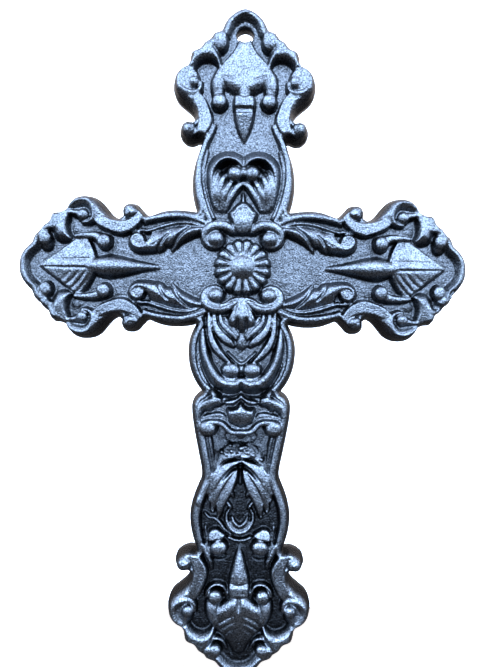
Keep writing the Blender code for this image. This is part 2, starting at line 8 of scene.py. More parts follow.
import bmesh
import bpy
import numpy as np
from mathutils.geometry import delaunay_2d_cdt
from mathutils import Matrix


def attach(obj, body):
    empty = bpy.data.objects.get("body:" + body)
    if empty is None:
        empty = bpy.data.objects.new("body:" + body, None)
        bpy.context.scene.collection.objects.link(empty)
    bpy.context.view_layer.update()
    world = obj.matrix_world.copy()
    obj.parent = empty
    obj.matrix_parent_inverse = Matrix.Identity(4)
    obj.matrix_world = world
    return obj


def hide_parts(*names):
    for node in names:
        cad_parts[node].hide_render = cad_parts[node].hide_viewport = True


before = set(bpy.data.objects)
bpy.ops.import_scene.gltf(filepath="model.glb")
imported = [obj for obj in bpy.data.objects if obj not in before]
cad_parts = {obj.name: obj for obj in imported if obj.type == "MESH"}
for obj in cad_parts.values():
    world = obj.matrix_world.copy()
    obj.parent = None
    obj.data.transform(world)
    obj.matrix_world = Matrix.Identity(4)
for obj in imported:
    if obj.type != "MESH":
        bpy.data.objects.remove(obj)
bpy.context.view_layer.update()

# The blank
# The cross starts as a plain sheet with the outline of the back, trimmed to the edge and to the
# hanging hole. All its relief is one casting, so every carved form below is worked into this
# sheet, and the sides and the flat back are added at the end.
MM = 0.001
HOLE_AT = 107.0
HOLE_RADIUS = 4.1
PITCH = 0.4
TOP_SHIFT = 11.5
FOOT_SHIFT = 83.5


def smooth(rows, closed=False, steps=6):
    """Even curve through the rows; every column is carried along."""
    p = np.array(rows, float)
    if closed:
        p = np.vstack([p[-1], p, p[0], p[1]])
    else:
        p = np.vstack([2 * p[0] - p[1], p, 2 * p[-1] - p[-2]])
    t = np.linspace(0, 1, steps, endpoint=False)[:, None]
    spans = []
    for a, b, c, d in zip(p, p[1:], p[2:], p[3:]):
        spans.append(0.5 * (2 * b + (c - a) * t + (2 * a - 5 * b + 4 * c - d) * t ** 2
                            + (3 * b - a - 3 * c + d) * t ** 3))
    return np.vstack(spans + [p[-2][None]])


def end_edge(tip):
    """Half the edge of one end, ball to tip: distance out along the limb, distance across."""
    ball = [(46.4, 26.6), (48.6, 29.0), (51.6, 29.8), (54.4, 28.8), (55.8, 26.4), (55.7, 23.9)]
    scroll = [
        (55.7, 23.9), (57.6, 22.9), (60.4, 24.4), (63.2, 27.6), (65.8, 30.6), (69.2, 32.5),
        (73.0, 33.0), (76.8, 32.0), (79.6, 29.6), (81.3, 26.6)]
    wing = [
        (81.3, 26.6), (83.6, 25.6), (86.6, 25.2), (88.2, 23.4), (89.2, 21.0), (91.6, 19.2),
        (93.0, 17.2), (95.6, 15.2), (97.2, 11.4)]
    return [ball, scroll, wing, [(97.2, 11.4)] + tip]


def half_outline():
    """Right half of the outline, top tip to foot tip, as (x, z) points."""
    plain_tip = [(99.6, 9.2), (101.7, 6.2), (102.8, 3.0), (103.0, 0.0)]
    arch_tip = [(100.0, 10.4), (103.2, 8.4), (106.2, 4.8), (107.5, 2.0), (107.9, 0.0)]
    top = [[(across, out + TOP_SHIFT) for out, across in run] for run in end_edge(arch_tip)]
    side = end_edge(plain_tip)
    foot = [[(across, -out - FOOT_SHIFT) for out, across in run] for run in side]
    arm = [(26, 26.8), (31, 27.1), (36, 26.6), (40.4, 25.2), (43.6, 24.2), (46.4, 26.6)]
    runs = [run[::-1] for run in reversed(top)]
    runs.append([(26.6, 57.9), (23.8, 57.6), (21.0, 58.6), (19.4, 58.8)])
    runs.append([
        (19.4, 58.8), (20.8, 54.0), (22.6, 48.5), (23.7, 42.0), (23.7, 36.0), (22.8, 30.5),
        (21.6, 26.2)])
    runs.append([(21.6, 26.2)] + arm)
    runs += side
    runs += [[(out, -across) for out, across in run[::-1]] for run in reversed(side)]
    runs.append([(out, -across) for out, across in arm[::-1]] + [(21.4, -25.9)])
    runs.append([
        (21.4, -25.9), (23.2, -29.5), (24.6, -34.5), (24.8, -40.0), (23.8, -46.4), (21.4, -52.2),
        (18.4, -56.6)])
    runs.append([
        (18.4, -56.6), (20.6, -58.2), (22.2, -60.6), (22.9, -64.0), (22.4, -70.0), (21.0, -78.0),
        (19.4, -86.0), (18.2, -92.0), (18.0, -96.0), (19.4, -100.0), (21.4, -105.0), (22.9, -111.0),
        (23.1, -117.0), (22.0, -123.5), (20.2, -128.9)])
    runs.append([(20.2, -128.9), (23.4, -128.7), (26.6, -129.9)])
    runs += foot
    lines = [smooth(run) for run in runs]
    return np.vstack([line[:-1] for line in lines] + [lines[-1][-1:]])


def within(a, b, line):
    """Which points lie inside a closed line."""
    odd = np.zeros(len(a), bool)
    for (a0, b0), (a1, b1) in zip(line, line[1:]):
        if b0 == b1:
            continue
        band = np.flatnonzero((b >= min(b0, b1)) & (b < max(b0, b1)))
        odd[band] ^= a[band] < a0 + (b[band] - b0) * (a1 - a0) / (b1 - b0)
    return odd


def nearest_edge(x, z, ring, reach):
    """Distance to the outline and the nearest point on it, for points within reach."""
    gap = np.full(len(x), reach)
    foot_x, foot_z = x.copy(), z.copy()
    for start, end in zip(ring, ring[1:]):
        low = np.minimum(start, end) - reach
        high = np.maximum(start, end) + reach
        near = np.flatnonzero((x > low[0]) & (x < high[0]) & (z > low[1]) & (z < high[1]))
        step = end - start
        t = ((x[near] - start[0]) * step[0] + (z[near] - start[1]) * step[1]) / (step @ step)
        t = np.clip(t, 0, 1)
        px, pz = start[0] + t * step[0], start[1] + t * step[1]
        d = np.hypot(x[near] - px, z[near] - pz)
        closer = d < gap[near]
        pick = near[closer]
        gap[pick] = d[closer]
        foot_x[pick], foot_z[pick] = px[closer], pz[closer]
    return gap, foot_x, foot_z


def places(bm):
    """Where the points of the sheet lie, as arrays of x and z."""
    spots = np.array([(v.co.x, v.co.z) for v in bm.verts])
    return spots[:, 0], spots[:, 1]


half = half_outline()
outline = np.vstack([half, half[-2::-1] * (-1, 1)])
width, height = outline[:, 0].max(), half[0, 1] - half[-1, 1]
columns = 2 * int(np.ceil((width + PITCH) / PITCH))
rows = int(np.ceil((height + 2 * PITCH) / PITCH))
bm = bmesh.new()
bmesh.ops.create_grid(bm, x_segments=columns, y_segments=rows, size=0.5)
for v in bm.verts:
    v.co.x = round(v.co.x * columns) * PITCH
    v.co.z = round((v.co.y + 0.5) * rows) * PITCH + half[-1, 1] - PITCH
x, z = places(bm)
gap = nearest_edge(x, z, outline, 2 * PITCH)[0]
clear = within(x, z, outline) & (gap > 0.3 * PITCH)
clear &= np.hypot(x, z - HOLE_AT) - HOLE_RADIUS > 0.3 * PITCH
outside = [f for f in bm.faces if not all(clear[v.index] for v in f.verts)]
bmesh.ops.delete(bm, geom=outside, context="FACES")
bm.verts.index_update()

x, z = places(bm)
rim = np.array([v.is_boundary for v in bm.verts])
gap, edge_x, edge_z = nearest_edge(x, z, outline, 3 * PITCH)
from_hole = np.hypot(x, z - HOLE_AT)
at_hole = rim & (from_hole < HOLE_RADIUS + 2 * PITCH)
at_edge = rim & ~at_hole & (gap < 2 * PITCH)
share = HOLE_RADIUS / from_hole[at_hole]
x[at_hole] *= share
z[at_hole] = HOLE_AT + (z[at_hole] - HOLE_AT) * share
x[at_edge], z[at_edge] = edge_x[at_edge], edge_z[at_edge]
depth = nearest_edge(x, z, outline, 9.0)[0]

# The ends
# Each limb ends in the same carved head: a leaf with a raised midline, a wing and a small ball on
# each side of it, a big scroll, a bracket with a knob, and an S-shaped band that runs to a ball.
# They are cast with the cross and stand up to 5 mm above its ground.
FLOOR = 6.5
SINK = 0.4
ROUND = 0.95
NOWHERE = -999.0


def along_line(place, line, reach):
    """Points near a line: which they are, their distance and side of it, and the line's data."""
    a, b = place
    low = line[:, :2].min(0) - reach
    high = line[:, :2].max(0) + reach
    near = np.flatnonzero((a > low[0]) & (a < high[0]) & (b > low[1]) & (b < high[1]))
    a, b = a[near], b[near]
    best = np.full(len(near), np.inf)
    left = np.zeros(len(near), bool)
    data = np.zeros((len(near), line.shape[1] - 2))
    for start, end in zip(line, line[1:]):
        step = end[:2] - start[:2]
        t = ((a - start[0]) * step[0] + (b - start[1]) * step[1]) / max(step @ step, 1e-12)
        t = np.clip(t, 0, 1)
        away = (a - start[0] - t * step[0]) ** 2 + (b - start[1] - t * step[1]) ** 2
        closer = away < best
        best[closer] = away[closer]
        left[closer] = (step[0] * (b - start[1]) > step[1] * (a - start[0]))[closer]
        data[closer] = start[2:] + t[closer, None] * (end[2:] - start[2:])
    return near, np.sqrt(best), left, data


def hump(t, flat, power):
    """Cross-section of a raised form: full height to the flat share, then round to nothing."""
    t = np.clip((t - flat) / (1 - flat), 0, 1)
    return (1 - t * t) ** power


def plump(t, rise, width, flat, power):
    """Drop below the crest of a form with a round top and steep sides."""
    round_top = np.minimum(rise, ROUND * width)
    side = np.clip((t - 0.82) / 0.18, 0, 1) ** 2
    return round_top * (1 - hump(t, flat, power)) + (rise - round_top) * side


class Relief:
    """Thickness of the casting at the points of the sheet, worked up one carved form at a time.

    The sheet is folded on its lines of symmetry, so a form is drawn once for all its places.
    """

    def __init__(self, x, z):
        self.x = x
        self.z = z
        self.height = np.full(len(x), FLOOR)
        self.front = (x, z)
        self.upright = (np.abs(x), z)
        self.arms = (np.abs(x), np.abs(z))
        side = (np.abs(z) < 35) & (np.abs(x) > 30)
        top = z > 50
        foot = z < -124
        out = np.select([side, top, foot], [np.abs(x), z - TOP_SHIFT, -z - FOOT_SHIFT], NOWHERE)
        across = np.where(side, np.abs(z), np.abs(x))
        self.ends = (out, across)
        self.side_ends = (np.where(side, out, NOWHERE), across)
        self.upright_ends = (np.where(side, NOWHERE, out), across)
        self.top_end = (np.where(top, out, NOWHERE), across)
        self.foot_end = (np.where(foot, out, NOWHERE), across)
        self.lower_side = (np.where(side & (z < 0), out, NOWHERE), across)
        self.upper_side = (np.where(side & (z >= 0), out, NOWHERE), across)

    def raise_to(self, points, height):
        """Build up to a height wherever the casting is lower."""
        self.height[points] = np.maximum(self.height[points], height)

    def add(self, form):
        """Lay on a form that was worked out by itself, where it stands above the ground."""
        higher = (form.height > FLOOR) & (form.height > self.height)
        self.height[higher] = form.height[higher]

    def rib(self, place, rows, flat=0.0, power=0.45, closed=False):
        """Raised band; its rows are place, place, half width and height of the crest."""
        line = smooth(rows, closed)
        near, away, _, data = along_line(place, line, line[:, 2].max())
        half_width, crest = data[:, 0], data[:, 1]
        on = away < half_width
        base = FLOOR - SINK
        t = np.clip(away / half_width, 0, 1)
        height = crest - plump(t, crest - base, half_width, flat, power)
        self.raise_to(near[on], height[on])

    def ridge(self, place, rows, feet=(FLOOR - SINK, FLOOR - SINK), curve=(2.0, 1.2)):
        """Crest with unlike flanks; its rows are place, place, width left and right, height."""
        line = smooth(rows)
        near, away, left, data = along_line(place, line, line[:, 2:4].max())
        width = np.where(left, data[:, 0], data[:, 1])
        base = np.where(left, *feet)
        on = away < width
        t = np.clip(away / width, 0, 1)
        height = base + (data[:, 2] - base) * (1 - t ** np.where(left, *curve)) ** 0.8
        self.raise_to(near[on], height[on])

    def groove(self, place, rows, power=1.0, closed=False):
        """Line cut into what is there; its rows are place, place, half width and depth."""
        line = smooth(rows, closed)
        near, away, _, data = along_line(place, line, line[:, 2].max())
        half_width, cut = data[:, 0], data[:, 1]
        on = away < half_width
        self.height[near[on]] -= (cut * hump(away / half_width, 0.0, power))[on]

    def boss(self, place, at, size, crest, flat=0.0, base=FLOOR - SINK, turn=0.0, power=0.45):
        """Raised knob or disc, oval, turned by degrees; a crest under its base sinks it."""
        a, b = place[0] - at[0], place[1] - at[1]
        c, s = np.cos(np.radians(turn)), np.sin(np.radians(turn))
        reach = np.hypot((a * c + b * s) / size[0], (b * c - a * s) / size[1])
        on = np.flatnonzero(reach < 1)
        if crest < base:
            self.height[on] += (crest - base) * hump(reach[on], flat, power)
        else:
            self.raise_to(on, crest - plump(reach[on], crest - base, min(size), flat, power))

    def panel(self, place, rows, top, flank, slope=(0.0, 0.0), power=0.7):
        """Raised panel inside a closed line, its edge rounded off over the flank's width.

        The top is the height at the first row, and the slope says how it changes from there.
        """
        line = np.vstack([rows, rows[:1]])[:, :2]
        bare = np.hstack([line, np.zeros((len(line), 1))])
        near, away = along_line(place, bare, 0.0)[:2]
        a, b = place[0][near], place[1][near]
        inside = within(a, b, line)
        crest = top + slope[0] * (a - line[0, 0]) + slope[1] * (b - line[0, 1])
        base = FLOOR - SINK
        height = base + (crest - base) * (1 - np.clip(1 - away / flank, 0, 1) ** 2) ** power
        self.raise_to(near[inside], height[inside])


cross = Relief(x, z)
# The wing beside the leaf, worked out twice on the side ends: broad and soft, then narrow and crisp
wing_foot = smooth([
    (92.6, 16.2), (90.2, 14.8), (87.8, 14.8), (86.2, 12.6), (84, 10.8), (81, 10.4), (78.6, 11),
    (76.8, 12.4), (78, 14.6), (78.8, 17.4), (78.9, 20), (78.4, 22), (78.6, 25), (81, 28), (87, 28),
    (94, 21)], closed=True)
broad_foot = smooth([
    (92.6, 16.2), (90.2, 14.8), (87.8, 14.6), (86.2, 12.4), (84, 10.6), (80.5, 10), (76, 9.4),
    (72, 10), (72, 28), (81, 31), (88, 31), (96, 21)], closed=True)
broad = Relief(x, z)
broad.panel(broad.side_ends, broad_foot, 11, 6.4, slope=(0, -0.13), power=1.0)
narrow = Relief(x, z)
narrow.panel(narrow.side_ends, wing_foot, 11, 3.2)
cross.height = np.maximum(cross.height, np.minimum(broad.height, narrow.height))
scoop = smooth([
    (93, 15.4), (90.6, 13.6), (87, 11.4), (84, 10.4), (81, 10), (78.6, 9.6), (76.6, 10.6),
    (78.4, 12), (80.6, 13.2), (81.9, 15), (82.2, 17), (81.6, 19.2), (80, 21.2), (77.6, 22.6),
    (78, 26), (81, 29), (88, 29), (96, 20)], closed=True)
cross.panel(cross.upright_ends, scoop, 10.9, 3.4, power=0.85)
cross.panel(cross.side_ends, [
    (82.6, 16.6), (85, 16), (88.2, 15.6), (90.4, 13.6), (93.6, 15), (91, 20.4), (87, 24.6),
    (83, 24.4)], 10.6, 1.4, power=0.85)
cross.rib(cross.side_ends, [(86.8, 19.6, 2.2, 10.2), (89.4, 17, 2.4, 10.5), (90.9, 13.8, 2.6, 10.7)])
cross.rib(cross.upright_ends, [(87.4, 19, 1.4, 9.8), (89, 16.8, 2, 10.3), (90.2, 14.6, 2.4, 10.6)])
# The small ball at the tip of each wing
cross.boss(cross.upper_side, (89.6, 12.4), (3.3, 3.9), 11.1, flat=0.1, base=5.4)
cross.boss(cross.upper_side, (89.4, 10.6), (3.4, 4.2), 9.8, base=5.4, power=0.7)
cross.boss(cross.lower_side, (89.3, 10.8), (3.4, 4.1), 11.0, flat=0.2, base=5.4)
cross.boss(cross.top_end, (91.6, 11.2), (5.8, 3.9), 11.2, flat=0.1, base=5.4)
cross.boss(cross.foot_end, (90.3, 10.7), (3.4, 3.4), 11.2, flat=0.1, base=5.4)
cross.rib(cross.foot_end, [
    (90, 14.4, 0.8, 9.4), (87, 13.3, 0.8, 9.6), (85.4, 11.2, 0.8, 9.4), (85.6, 8.6, 0.8, 9),
    (87.4, 6.6, 0.7, 8.6), (90, 5.6, 0.6, 8.2)])
# The leaf of the side ends: flat halves that meet at the midline and bend down towards the stem
leaf_edge = smooth([
    (66.2, -2), (66.4, 1.6), (67.2, 5.2), (68.6, 8.4), (70.4, 11), (72, 12.8), (74.2, 13.9),
    (76.8, 12.8), (79.6, 10.5), (83, 7.8), (86.6, 5), (90, 2.4), (92, 0.6), (92.4, -0.6), (90, -2),
    (80, -4)], closed=True)
cross.panel(cross.upper_side, [
    (66, 2), (66.4, 4.6), (67.4, 7.6), (68.8, 10.6), (70.6, 13.2), (74, 13), (74, 4)], 9.3, 0.8)
leaf = Relief(x, z)
leaf.panel(leaf.side_ends, leaf_edge, 11.2, 1.4, slope=(0, -0.17))
fold = 65.8 + 0.7 * leaf.side_ends[1] - leaf.side_ends[0]
leaf.height -= np.where(z > 0, 0.12, 0.75) * np.clip(fold, 0, 10) * (leaf.side_ends[0] > 60)
leaf.groove(leaf.upper_side, [
    (67, 3.2, 0.5, 0.1), (72, 3.1, 0.6, 0.35), (79, 2.9, 0.6, 0.3), (85, 2.6, 0.5, 0.1)])
leaf.groove(leaf.lower_side, [
    (66, 0.9, 0.7, 0.5), (74, 0.9, 0.7, 0.5), (84, 0.8, 0.6, 0.4), (90, 0.6, 0.5, 0.2)])
cross.add(leaf)
# The leaf of the top and foot ends: broader, and rolled under where it meets the stem
broad_leaf = smooth([
    (65.4, -2), (65.6, 2), (66, 6), (66, 9), (67.4, 12.4), (69.6, 14.4), (72, 15.3), (74.6, 15.2),
    (77, 13.4), (79.4, 12.3), (82.4, 10), (86.4, 6.3), (89.6, 4.2), (92.4, 3), (93, 1.6),
    (93, -0.6), (90, -2), (80, -4)], closed=True)
leaf = Relief(x, z)
leaf.panel(leaf.upright_ends, broad_leaf, 11.2, 1.2, slope=(-0.07, -0.1))
fold = np.where(z > 0, 70.8 + 0.45 * np.abs(x), 69 + 0.62 * np.abs(x)) - leaf.upright_ends[0]
leaf.height -= 0.13 * np.clip(fold, 0, 10) ** 2 * (leaf.upright_ends[0] > 60)
leaf.height -= 0.08 * np.clip(leaf.foot_end[0] - 72, 0, None)
leaf.groove(leaf.upright_ends, [(71, 0, 0.5, 0.15), (80, 0, 0.5, 0.25), (90, 0, 0.4, 0.15)])
leaf.groove(leaf.foot_end, [(65.6, 0, 1.2, 0.9), (69, 0, 1.4, 1.4), (72.4, 0, 0.7, 0.5)])
leaf.rib(leaf.top_end, [
    (78, 0, 1.6, 10.2), (74, 0, 2.4, 10.6), (70, 0, 3.2, 10.6), (66, 0, 3.4, 10.2)], power=0.8)
leaf.groove(leaf.top_end, [
    (72, 2.6, 0.5, 0.2), (74.2, 6.2, 0.6, 0.4), (75.6, 10, 0.6, 0.3), (76, 12, 0.5, 0.1)])
cross.add(leaf)


def veins(place, lines, widths, cuts):
    """Bowed veins of a leaf; each line has its start, its end and how deep it is."""
    for start, end, deep in lines:
        middle = ((start[0] + end[0]) / 2 - 0.2, (start[1] + end[1]) / 2 + 0.2)
        points = zip((start, middle, end), widths, cuts)
        cross.groove(place, [(*point, width, cut * deep) for point, width, cut in points])


veins(cross.lower_side, [
    ((68, 2.6), (75, 11.6), 0.4), ((71, 2.8), (77.2, 10), 0.4), ((74.4, 2.8), (79.6, 8.2), 0.3),
    ((78, 2.8), (82.2, 6.4), 0.18)], (0.6, 0.9, 0.8), (0.6, 1.5, 1.2))
veins(cross.foot_end, [
    ((74.4, 2), (78.4, 8.6), 0.4), ((77.4, 2), (81.4, 8), 0.35),
    ((80.6, 2), (84, 6.4), 0.25)], (0.5, 0.8, 0.7), (0.5, 1.1, 0.9))
# The bracket from the leaf to its knob, and the sunk places beside the foot end's knobs
cross.rib(cross.side_ends, [
    (76, 13.6, 1.1, 9.4), (73.4, 13.8, 1.5, 9.9), (70, 13.8, 1.8, 10.2), (66.8, 13.5, 2.2, 10.4),
    (64.4, 12.4, 2.8, 10.6)])
cross.rib(cross.upright_ends, [
    (77.4, 11, 2.6, 9.6), (74.2, 12, 3.3, 10), (70.8, 12.2, 3.5, 9.9), (67.6, 12, 3.2, 9.1),
    (65, 11.6, 3, 8.6)], power=0.7)
cross.boss(cross.side_ends, (62.8, 11.2), (3.7, 3.9), 11.6, flat=0.2, base=5.4)
cross.boss(cross.top_end, (63.6, 11.3), (4.2, 3.9), 11.5, flat=0.1, base=5.4)
cross.boss(cross.foot_end, (63.6, 10.6), (3.8, 4.2), 3.4)
cross.boss(cross.foot_end, (66, 10.7), (3.7, 3.7), 11.4, flat=0.1, base=5.4)
cross.rib(cross.foot_end, [
    (66.4, 15, 0.7, 9), (63.4, 14.2, 0.8, 9.6), (61.3, 12.3, 0.8, 9.6), (60.6, 10, 0.8, 9.4),
    (61.6, 7.2, 0.8, 9.2), (64, 5.9, 0.8, 9), (66.6, 5.8, 0.6, 8.6)])
# The big scroll with its filled eye
cross.boss(cross.side_ends, (75.8, 16.8), (3.2, 2.6), 7)
cross.ridge(cross.ends, [
    (80, 25.4, 1.2, 1, 9.6), (79, 27.4, 2.4, 1.4, 10.2), (77, 29.3, 3.2, 1.8, 10.7),
    (74, 30.5, 3.6, 2, 11), (71, 30.1, 3.4, 2.2, 11), (69, 28.2, 2.8, 2.6, 11),
    (68, 25.8, 2.2, 2.8, 10.9), (67.7, 23.4, 1.7, 2.6, 10.7), (68.5, 21.4, 1.2, 1.8, 10.4),
    (70.4, 20.2, 1, 1.3, 10), (72.8, 19.9, 0.8, 1, 9.4)], feet=(8.5, 8.6), curve=(1.3, 2.2))
cross.boss(cross.side_ends, (74.2, 25.2), (4.6, 3.6), 8.6, flat=0.5)
cross.boss(cross.top_end, (74, 25.8), (6.2, 5.6), 10.1, flat=0.6)
cross.boss(cross.foot_end, (74, 25.8), (6, 5.4), 9.2, flat=0.5)
cross.boss(cross.ends, (72.6, 23.2), (3.1, 3), 10.9, flat=0.1, base=7.4)
cross.boss(cross.ends, (65.4, 24.4), (2.6, 3.2), 10.2, flat=0.2)
cross.rib(cross.ends, [
    (81, 24.4, 1.4, 10), (78.4, 24.4, 1.3, 9.9), (75.8, 24.1, 1.5, 10), (73, 23.6, 2, 10.3)])
# The S-shaped band from the scroll to its ball
cross.rib(cross.ends, [
    (67, 22.4, 2, 9.9), (64.2, 20.4, 2.9, 10.3), (61, 19, 3.2, 10.4), (57.6, 18, 3.5, 10.4),
    (54.8, 17.6, 3.6, 10.4), (51.6, 18.6, 3.2, 10.4), (48.8, 20.4, 2.6, 10.2), (47, 23, 1.9, 10),
    (46.8, 25.6, 1.2, 9.8)], flat=0.6, power=0.5)
cross.boss(cross.ends, (51.2, 25.2), (3.9, 3.7), 11.8, flat=0.1, base=5.6, power=0.6)
# The stem of the leaf, a long drop on the side ends and a block with a taper on the others
cross.rib(cross.side_ends, [
    (69.5, 0, 2.4, 11.1), (67.4, 0, 3.8, 11.3), (64, 0, 5.2, 11.5), (60, 0, 5.7, 11.6),
    (55, 0, 4.9, 11.2), (50, 0, 3.5, 10.2), (45, 0, 2.3, 9), (40, 0, 1.4, 7.7),
    (37, 0, 0.5, 6.6)], power=0.7)
cross.panel(cross.upright_ends, [
    (66.4, 5.1), (67, 2.6), (66.2, 0), (66.2, -2), (59.9, -2), (59.9, 5),
    (63, 5.3)], 10.7, 1.5, slope=(0, -0.12))
cross.rib(cross.upright_ends, [(63, 0, 4.9, 9.8), (60, 0, 4.8, 9.8), (57.5, 0, 4.6, 9.8)], flat=0.6)
cross.rib(cross.foot_end, [
    (58.8, 0, 4.6, 11), (56, 0, 4.4, 10.8), (52, 0, 3.5, 10), (48, 0, 2.4, 8.9),
    (44.6, 0, 1.1, 7.3)], power=0.7)
cross.panel(cross.top_end, [
    (59.2, 4.9), (56.6, 4.7), (53, 3.9), (49.6, 2.7), (46.8, 1.3), (45, 0), (44.8, -2),
    (59.2, -2)], 10.6, 1.5, slope=(0.27, -0.1))

# The arms
# Along each edge of each arm runs a lip inside the rim and one acanthus leaf, whose three ribs
# fan out of the crossing and whose outer rib rolls over into a hook.
cross.rib(cross.arms, [
    (44.4, 20.4, 1.2, 9.2), (43, 21.4, 1.5, 9.5), (38, 22.5, 1.6, 9.7), (33, 23.2, 1.6, 9.8),
    (27.5, 23.3, 1.6, 9.8), (21.5, 22.0, 1.6, 9.8), (16, 19.6, 1.4, 9.7)])
cross.rib(cross.arms, [
    (50, 15.2, 0.7, 8.6), (48.4, 16.1, 0.8, 9), (45.6, 16.4, 0.9, 9.2), (43, 16.3, 0.9, 9.2),
    (38, 17.9, 0.9, 9.3), (33, 19.4, 0.9, 9.4), (28, 20.2, 0.9, 9.4), (24, 20.1, 0.9, 9.4),
    (20, 18.9, 0.9, 9.4), (17.5, 18, 0.8, 9.2)])
# The outer rib and its hook, the two inner ribs, and the veins between them
cross.boss(cross.arms, (47.6, 11.8), (3.3, 3.2), 10.9, base=9.9)
cross.ridge(cross.arms, [
    (45.7, 12.3, 1.4, 1.2, 10.2), (46.3, 13.5, 1.7, 1.6, 10.7), (47.7, 14, 2.2, 1.9, 11),
    (49.3, 13.2, 2.4, 2, 11.1), (49.9, 11.6, 2.5, 2, 11.2), (49.2, 10, 2.8, 2, 11.2),
    (47.4, 9, 3.1, 2, 11.2), (44.6, 9.1, 3.4, 4.2, 11.1), (41.4, 10.2, 4.4, 6, 11.1),
    (38.6, 11.6, 5.4, 6, 11.1), (36.4, 12.9, 4.2, 5.2, 10.9),
    (34.4, 14.4, 2, 3.8, 10)], feet=(6.1, 7.4))
cross.ridge(cross.arms, [
    (38.2, 7, 0.8, 0.7, 7.6), (37.4, 9, 2.2, 0.9, 9.3), (36.2, 11.2, 3.8, 1.4, 10.4),
    (33.8, 13.2, 5.4, 5, 11.1), (30.4, 14.7, 5.4, 4.8, 11.1), (27.6, 16.2, 3.4, 3.6, 10.6),
    (25, 17.9, 1.6, 2.4, 9.6)], feet=(6.1, 7.4))
cross.ridge(cross.arms, [
    (32, 7.6, 0.8, 0.7, 7.6), (31, 10, 2, 0.9, 9), (29.4, 12.4, 2.8, 1.2, 10),
    (26.8, 14.6, 3.4, 1.4, 10.7), (23.6, 16.2, 3.4, 3, 10.9), (20, 17.2, 3, 1.8, 10.6),
    (17.4, 17.6, 2, 1.2, 10)], feet=(6.1, 7.4))
cross.groove(cross.arms, [
    (34, 14.6, 0.7, 0.9), (35.8, 12.8, 0.8, 1.1), (37.4, 10.2, 0.9, 1.1), (38.4, 7.6, 0.8, 0.7)])
cross.groove(cross.arms, [
    (24.4, 18, 0.7, 0.9), (27.4, 15.6, 0.9, 1.3), (29.8, 12.6, 0.9, 1.2), (31.6, 9.4, 0.8, 0.8)])
cross.groove(cross.arms, [(33, 13.2, 0.5, 0.3), (34.4, 11, 0.6, 0.45), (35.2, 8.8, 0.6, 0.3)])
cross.groove(cross.arms, [(42, 9.6, 0.5, 0.2), (40, 10, 0.6, 0.35), (37.6, 12, 0.5, 0.3)])

# The neck
# Above the crossing the upright swells between two rims. In it lies a heart-shaped leaf with two
# rolled lobes, a pair of knobs under them, and ribs that run down to the crossing.
cross.rib(cross.upright, [
    (13.6, 64.5, 1.2, 8.8), (15.6, 60, 1.4, 9.3), (18.2, 55, 1.5, 9.5), (20, 48, 1.5, 9.6),
    (20.4, 41, 1.5, 9.6), (19.4, 34, 1.5, 9.6), (17.4, 27, 1.5, 9.6), (15, 21.4, 1.4, 9.6),
    (13.6, 18.6, 1.3, 9.4)])
cross.rib(cross.upright, [
    (16.6, 53, 0.8, 8), (18, 46, 0.9, 8.2), (18.3, 40, 0.9, 8.2), (17.4, 34, 0.9, 8.2),
    (15.4, 27, 0.9, 8.2), (13.4, 22.6, 0.8, 8)])
# The bed of the heart: a pit under its lobes, and a low leaf that the ribs lie on
pit = Relief(x, z)
pit.panel(pit.upright, [
    (1, 46.6), (3.2, 48), (8, 49), (12.4, 46.8), (14, 43.2), (12.6, 42.2), (11, 43.2), (9.6, 43.4),
    (8.6, 45), (7, 46.6), (4.6, 47.4), (2.4, 46.8)], FLOOR + 2.6, 1.4)
lobes = smooth([
    (0, 38), (6, 37.6), (8.4, 40), (12, 43.5), (15.5, 42), (16.2, 36), (15.2, 30), (13.4, 25),
    (11.6, 22.8), (9, 22.2), (7.6, 23.6), (6.6, 26.4), (4.6, 30.4), (1.6, 34.6), (0, 36)])
leaf = Relief(x, z)
leaf.panel(leaf.upright, lobes, 9.4, 1.6)
leaf.height = np.minimum(leaf.height, 5.9 + 0.34 * (z - 23))
leaf.height = np.minimum(leaf.height, 8.2 + 0.04 * (z - 30))
cross.add(leaf)
cross.height -= np.clip(pit.height - FLOOR, 0, None)
# The ribs under the lobes, outermost first, and the rolled edge of the heart
for rib in (
        [(10.6, 44.6, 0.9, 7.6), (12, 42.2, 1.3, 9.4), (12.9, 38.4, 1.5, 10), (13, 34, 1.4, 9.8),
         (12.4, 30, 1.2, 8.6), (11.4, 26.6, 0.9, 7.6)],
        [(7.8, 43.2, 1, 8), (9.2, 40.4, 1.5, 10.1), (10.4, 36.6, 1.7, 10.4), (10.8, 32.6, 1.5, 9.8),
         (10.5, 29, 1.2, 8.4), (9.8, 26, 0.8, 7.4)],
        [(4.6, 40, 1, 8.4), (6.4, 37.4, 1.5, 10.1), (8.2, 33.2, 1.6, 10), (8.9, 29.8, 1.3, 8.8),
         (8.8, 26.4, 0.9, 7.6)],
        [(0, 38.4, 1.2, 9.2), (2.6, 36.6, 1.6, 9.9), (5.2, 32.6, 1.6, 9.7), (6.9, 29.4, 1.4, 8.9),
         (7.8, 26.4, 1, 7.8)]):
    cross.rib(cross.upright, rib, flat=0.1)
cross.ridge(cross.upright, [
    (0, 45.6, 3, 0.9, 9.4), (1.3, 46.2, 3.8, 1.1, 10.1), (3.2, 48, 4.6, 1.4, 10.9),
    (6.6, 49, 4.7, 1.5, 11.3), (9.8, 48.2, 4.7, 1.5, 11.4), (12.3, 45.9, 4.6, 1.5, 11.3),
    (13.8, 43, 4.1, 1.4, 11.1), (14.3, 39.5, 3.4, 1.4, 10.7), (14.4, 36, 2.8, 1.5, 10.1),
    (14, 32, 2.2, 1.6, 9.4), (13, 28, 1.6, 1.5, 8.4)], feet=(6.1, 3.2), curve=(1.25, 1.5))
